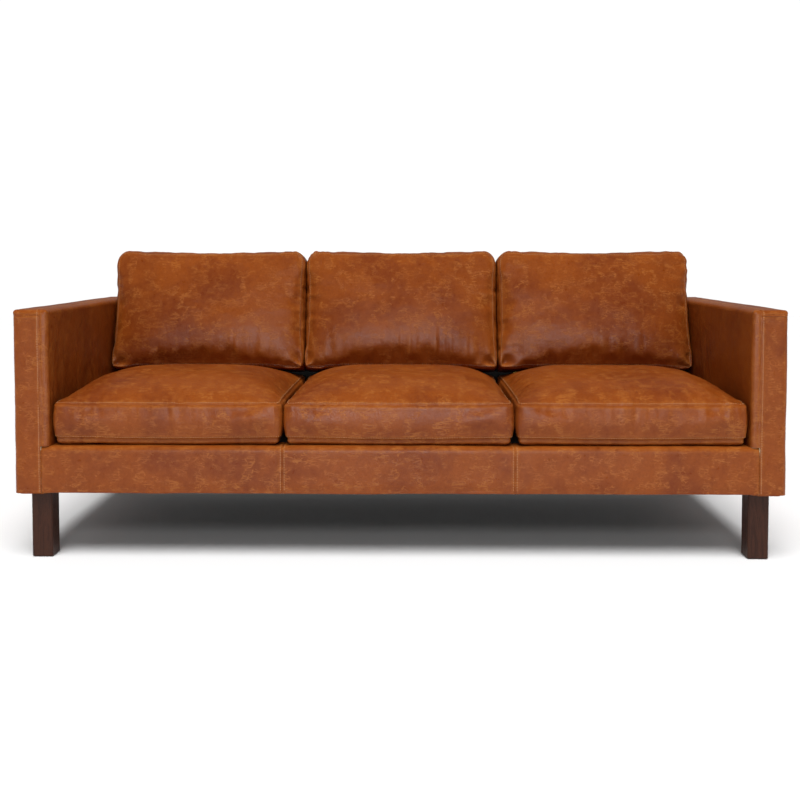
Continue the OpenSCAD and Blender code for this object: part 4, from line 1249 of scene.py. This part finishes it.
def add_light(name, place, aim, size, power):
    """A soft white panel that faces a point."""
    data = bpy.data.lights.new(name, "AREA")
    data.shape = "RECTANGLE"
    data.size, data.size_y = size
    data.energy = power
    obj = bpy.data.objects.new(name, data)
    bpy.context.scene.collection.objects.link(obj)
    obj.location = place
    obj.rotation_euler = (Vector(aim) - Vector(place)).to_track_quat("-Z", "Y").to_euler()
    return obj


def add_sky_light(name, source, power, spread):
    """A broad light from far away, the same over the whole floor, that makes no highlights."""
    data = bpy.data.lights.new(name, "SUN")
    data.energy = power
    data.angle = spread
    obj = bpy.data.objects.new(name, data)
    bpy.context.scene.collection.objects.link(obj)
    obj.rotation_euler = Vector(source).to_track_quat("Z", "Y").to_euler()
    obj.visible_glossy = False


def make_floor():
    """A pale floor that runs on past the camera's view."""
    mesh = bpy.data.meshes.new("studio_floor")
    far = FLOOR_REACH
    mesh.from_pydata([(-far, -far, 0), (far, -far, 0), (far, far, 0), (-far, far, 0)], [], [(0, 1, 2, 3)])
    obj = bpy.data.objects.new("studio_floor", mesh)
    bpy.context.scene.collection.objects.link(obj)
    floor, tree, shader, place = new_material("studio_floor")
    shade = noise_at(tree, place, 1.5, 2.0)
    tree.links.new(mix_colour(tree, shade, (0.91, 0.91, 0.91, 1), (0.93, 0.93, 0.93, 1)),
                   shader.inputs["Base Color"])
    shader.inputs["Roughness"].default_value = 0.9
    shader.inputs["Specular IOR Level"].default_value = 0.1
    mesh.materials.append(floor)


# ---------------------------------------------------------------- add-on


class SofaFinish(bpy.types.PropertyGroup):
    """Sizes and colours of the upholstery."""

    leather_main: bpy.props.FloatVectorProperty(
        name="Leather", description="Main colour of the leather", subtype="COLOR_GAMMA", size=3,
        default=(0.54, 0.26, 0.065), min=0, max=1)
    leather_dark: bpy.props.FloatVectorProperty(
        name="Dark leather", description="Colour of the leather's dark clouds",
        subtype="COLOR_GAMMA", size=3, default=(0.44, 0.185, 0.05), min=0, max=1)
    leather_light: bpy.props.FloatVectorProperty(
        name="Light leather", description="Colour of the leather's light clouds",
        subtype="COLOR_GAMMA", size=3, default=(0.58, 0.305, 0.105), min=0, max=1)
    # this colour is also the painted highlight on seam lips and fold crests
    leather_crease_and_highlight: bpy.props.FloatVectorProperty(
        name="Creases", description="Colour where the leather is creased or rubbed",
        subtype="COLOR_GAMMA", size=3, default=(0.70, 0.43, 0.19), min=0, max=1)
    leather_rough: bpy.props.FloatProperty(
        name="Leather roughness", description="How dull the leather is", default=0.31, min=0.1, max=0.9)
    thread_colour: bpy.props.FloatVectorProperty(
        name="Thread", description="Colour of the stitching", subtype="COLOR_GAMMA", size=3,
        default=(0.80, 0.58, 0.40), min=0, max=1)
    leg_dark: bpy.props.FloatVectorProperty(
        name="Leg grain", description="Colour of the legs' dark grain", subtype="COLOR_GAMMA", size=3,
        default=(0.19, 0.09, 0.05), min=0, max=1)
    leg_light: bpy.props.FloatVectorProperty(
        name="Leg wood", description="Colour of the legs' wood", subtype="COLOR_GAMMA", size=3,
        default=(0.28, 0.15, 0.09), min=0, max=1)
    seat_crown: bpy.props.FloatProperty(
        name="Seat crown", description="Height of a seat cushion's crown", default=0.068, unit="LENGTH")
    back_crown: bpy.props.FloatProperty(
        name="Back crown", description="Depth of a back cushion's crown", default=0.040, unit="LENGTH")
    edge_radius: bpy.props.FloatProperty(
        name="Edge radius", description="Radius of the arms' padded edges", default=0.014, unit="LENGTH")
    hem: bpy.props.FloatProperty(
        name="Hem", description="Width of the leather turned under the body", default=0.020, unit="LENGTH")
    back_facing: bpy.props.FloatProperty(
        name="Back facing", description="How far the outer leather reaches down inside the back",
        default=0.090, unit="LENGTH")
    leather_cell: bpy.props.FloatProperty(
        name="Cell", description="Size of the mesh cells that the cushions are cut into", default=0.0095,
        unit="LENGTH")
    filling_pressure: bpy.props.FloatProperty(
        name="Filling", description="Pressure that fills a cushion", default=3.2)
    filling_frames: bpy.props.IntProperty(
        name="Filling steps", description="Steps of the simulation that fills the cushions", default=16)
    filling_cap: bpy.props.FloatProperty(
        name="Swell", description="The most that filling moves a cushion's leather",
        default=0.008, unit="LENGTH")


class SofaView(bpy.types.PropertyGroup):
    """Where the camera stands."""

    lens: bpy.props.FloatProperty(name="Lens", description="Focal length in millimetres", default=44.1)
    side: bpy.props.FloatProperty(
        name="Side", description="How far right of the middle the camera stands",
        default=0.037, unit="LENGTH")
    distance: bpy.props.FloatProperty(
        name="Distance", description="Distance from the front of the arms", default=2.6775, unit="LENGTH")
    height: bpy.props.FloatProperty(
        name="Height", description="Height of the camera", default=0.842, unit="LENGTH")
    tilt: bpy.props.FloatProperty(
        name="Tilt", description="How far the camera looks down", default=0.0449, unit="ROTATION")
    turn: bpy.props.FloatProperty(
        name="Turn", description="How far the camera turns to the left", default=0.0124,
        unit="ROTATION")
    shift: bpy.props.FloatProperty(name="Shift", description="Upright shift of the lens", default=-0.125)


class SOFA_OT_frame_finishes(bpy.types.Operator):
    """Give every piece of the frame the finish of its slot"""

    bl_idname = "sofa.frame_finishes"
    bl_label = "Frame finishes"

    def execute(self, context):
        for part in frame["record"]["subparts"]:
            data = frame["nodes"][part["node"]].data
            data.materials.clear()
            data.materials.append(material(SLOT_FINISHES[part["material_slot"]]))
        return {"FINISHED"}


class SOFA_OT_seat_cushions(bpy.types.Operator):
    """Sew and fill the three seat cushions"""

    bl_idname = "sofa.seat_cushions"
    bl_label = "Seat cushions"

    def execute(self, context):
        look = context.scene.sofa_finish
        upholster([seat_job(p, look) for p in PLACES], [p + "_seat_cushion" for p in PLACES],
                  [(p + "_seat_cover", p + "_seat_core") for p in PLACES], look)
        return {"FINISHED"}


class SOFA_OT_back_cushions(bpy.types.Operator):
    """Sew and fill the three back cushions"""

    bl_idname = "sofa.back_cushions"
    bl_label = "Back cushions"

    def execute(self, context):
        look = context.scene.sofa_finish
        upholster([back_job(p, look) for p in PLACES], [p + "_back_cushion" for p in PLACES],
                  [(p + "_back_cushion_cover", p + "_back_cushion_core") for p in PLACES], look)
        return {"FINISHED"}


class SOFA_OT_arms(bpy.types.Operator):
    """Upholster both arms"""

    bl_idname = "sofa.arms"
    bl_label = "Arms"

    def execute(self, context):
        for side in (-1, 1):
            make_arm(side, context.scene.sofa_finish)
        return {"FINISHED"}


class SOFA_OT_front_rail(bpy.types.Operator):
    """Upholster the front rail"""

    bl_idname = "sofa.front_rail"
    bl_label = "Front rail"

    def execute(self, context):
        make_front_rail(context.scene.sofa_finish)
        return {"FINISHED"}


class SOFA_OT_outside_back(bpy.types.Operator):
    """Upholster the outside back"""

    bl_idname = "sofa.outside_back"
    bl_label = "Outside back"

    def execute(self, context):
        make_outside_back(context.scene.sofa_finish)
        return {"FINISHED"}


class SOFA_OT_stage(bpy.types.Operator):
    """Set up the floor, the lights and the camera"""

    bl_idname = "sofa.stage"
    bl_label = "Stage"

    def execute(self, context):
        make_floor()
        make_backdrop()
        world = bpy.data.worlds.new("studio")
        context.scene.world = world
        world.use_nodes = True
        sky = world.node_tree.nodes["Background"]
        sky.inputs["Color"].default_value = (1.0, 1.0, 1.0, 1.0)
        sky.inputs["Strength"].default_value = 0.22
        context.scene.view_settings.view_transform = "Standard"
        add_sky_light("overhead", source=(0, -0.40, 0.916), power=3.1, spread=math.radians(35))
        sheen = add_light("front_softbox", place=(0.0, -4.0, 0.95), aim=(0, 0, 0.6), size=(2.4, 0.24),
                          power=76)
        sheen.visible_diffuse = False
        add_light("upper_softbox", place=(0.0, -4.0, 2.3), aim=(0, 0, 0.75), size=(2.4, 0.7), power=20)
        place_camera(context.scene.sofa_view)
        return {"FINISHED"}


OPERATORS = (
    SOFA_OT_stage, SOFA_OT_frame_finishes, SOFA_OT_seat_cushions, SOFA_OT_back_cushions, SOFA_OT_arms,
    SOFA_OT_front_rail, SOFA_OT_outside_back,
)


class SOFA_PT_panel(bpy.types.Panel):
    """Lists the sofa's pieces, sizes and colours"""

    bl_idname = "SOFA_PT_panel"
    bl_label = "Leather sofa"
    bl_space_type = "VIEW_3D"
    bl_region_type = "UI"
    bl_category = "Sofa"

    def draw(self, context):
        column = self.layout.column(align=True)
        for operator in OPERATORS:
            column.operator(operator.bl_idname)
        for group in (context.scene.sofa_finish, context.scene.sofa_view):
            box = self.layout.box()
            for name in group.__annotations__:
                box.prop(group, name)


CLASSES = (SofaFinish, SofaView, *OPERATORS, SOFA_PT_panel)


def register():
    for cls in CLASSES:
        bpy.utils.register_class(cls)
    bpy.types.Scene.sofa_finish = bpy.props.PointerProperty(type=SofaFinish)
    bpy.types.Scene.sofa_view = bpy.props.PointerProperty(type=SofaView)


def unregister():
    del bpy.types.Scene.sofa_view
    del bpy.types.Scene.sofa_finish
    for cls in reversed(CLASSES):
        bpy.utils.unregister_class(cls)


def main():
    register()
    bpy.ops.sofa.stage()
    bpy.ops.sofa.frame_finishes()
    bpy.ops.sofa.seat_cushions()
    bpy.ops.sofa.back_cushions()
    bpy.ops.sofa.arms()
    bpy.ops.sofa.front_rail()
    bpy.ops.sofa.outside_back()


if __name__ == "__main__":
    main()
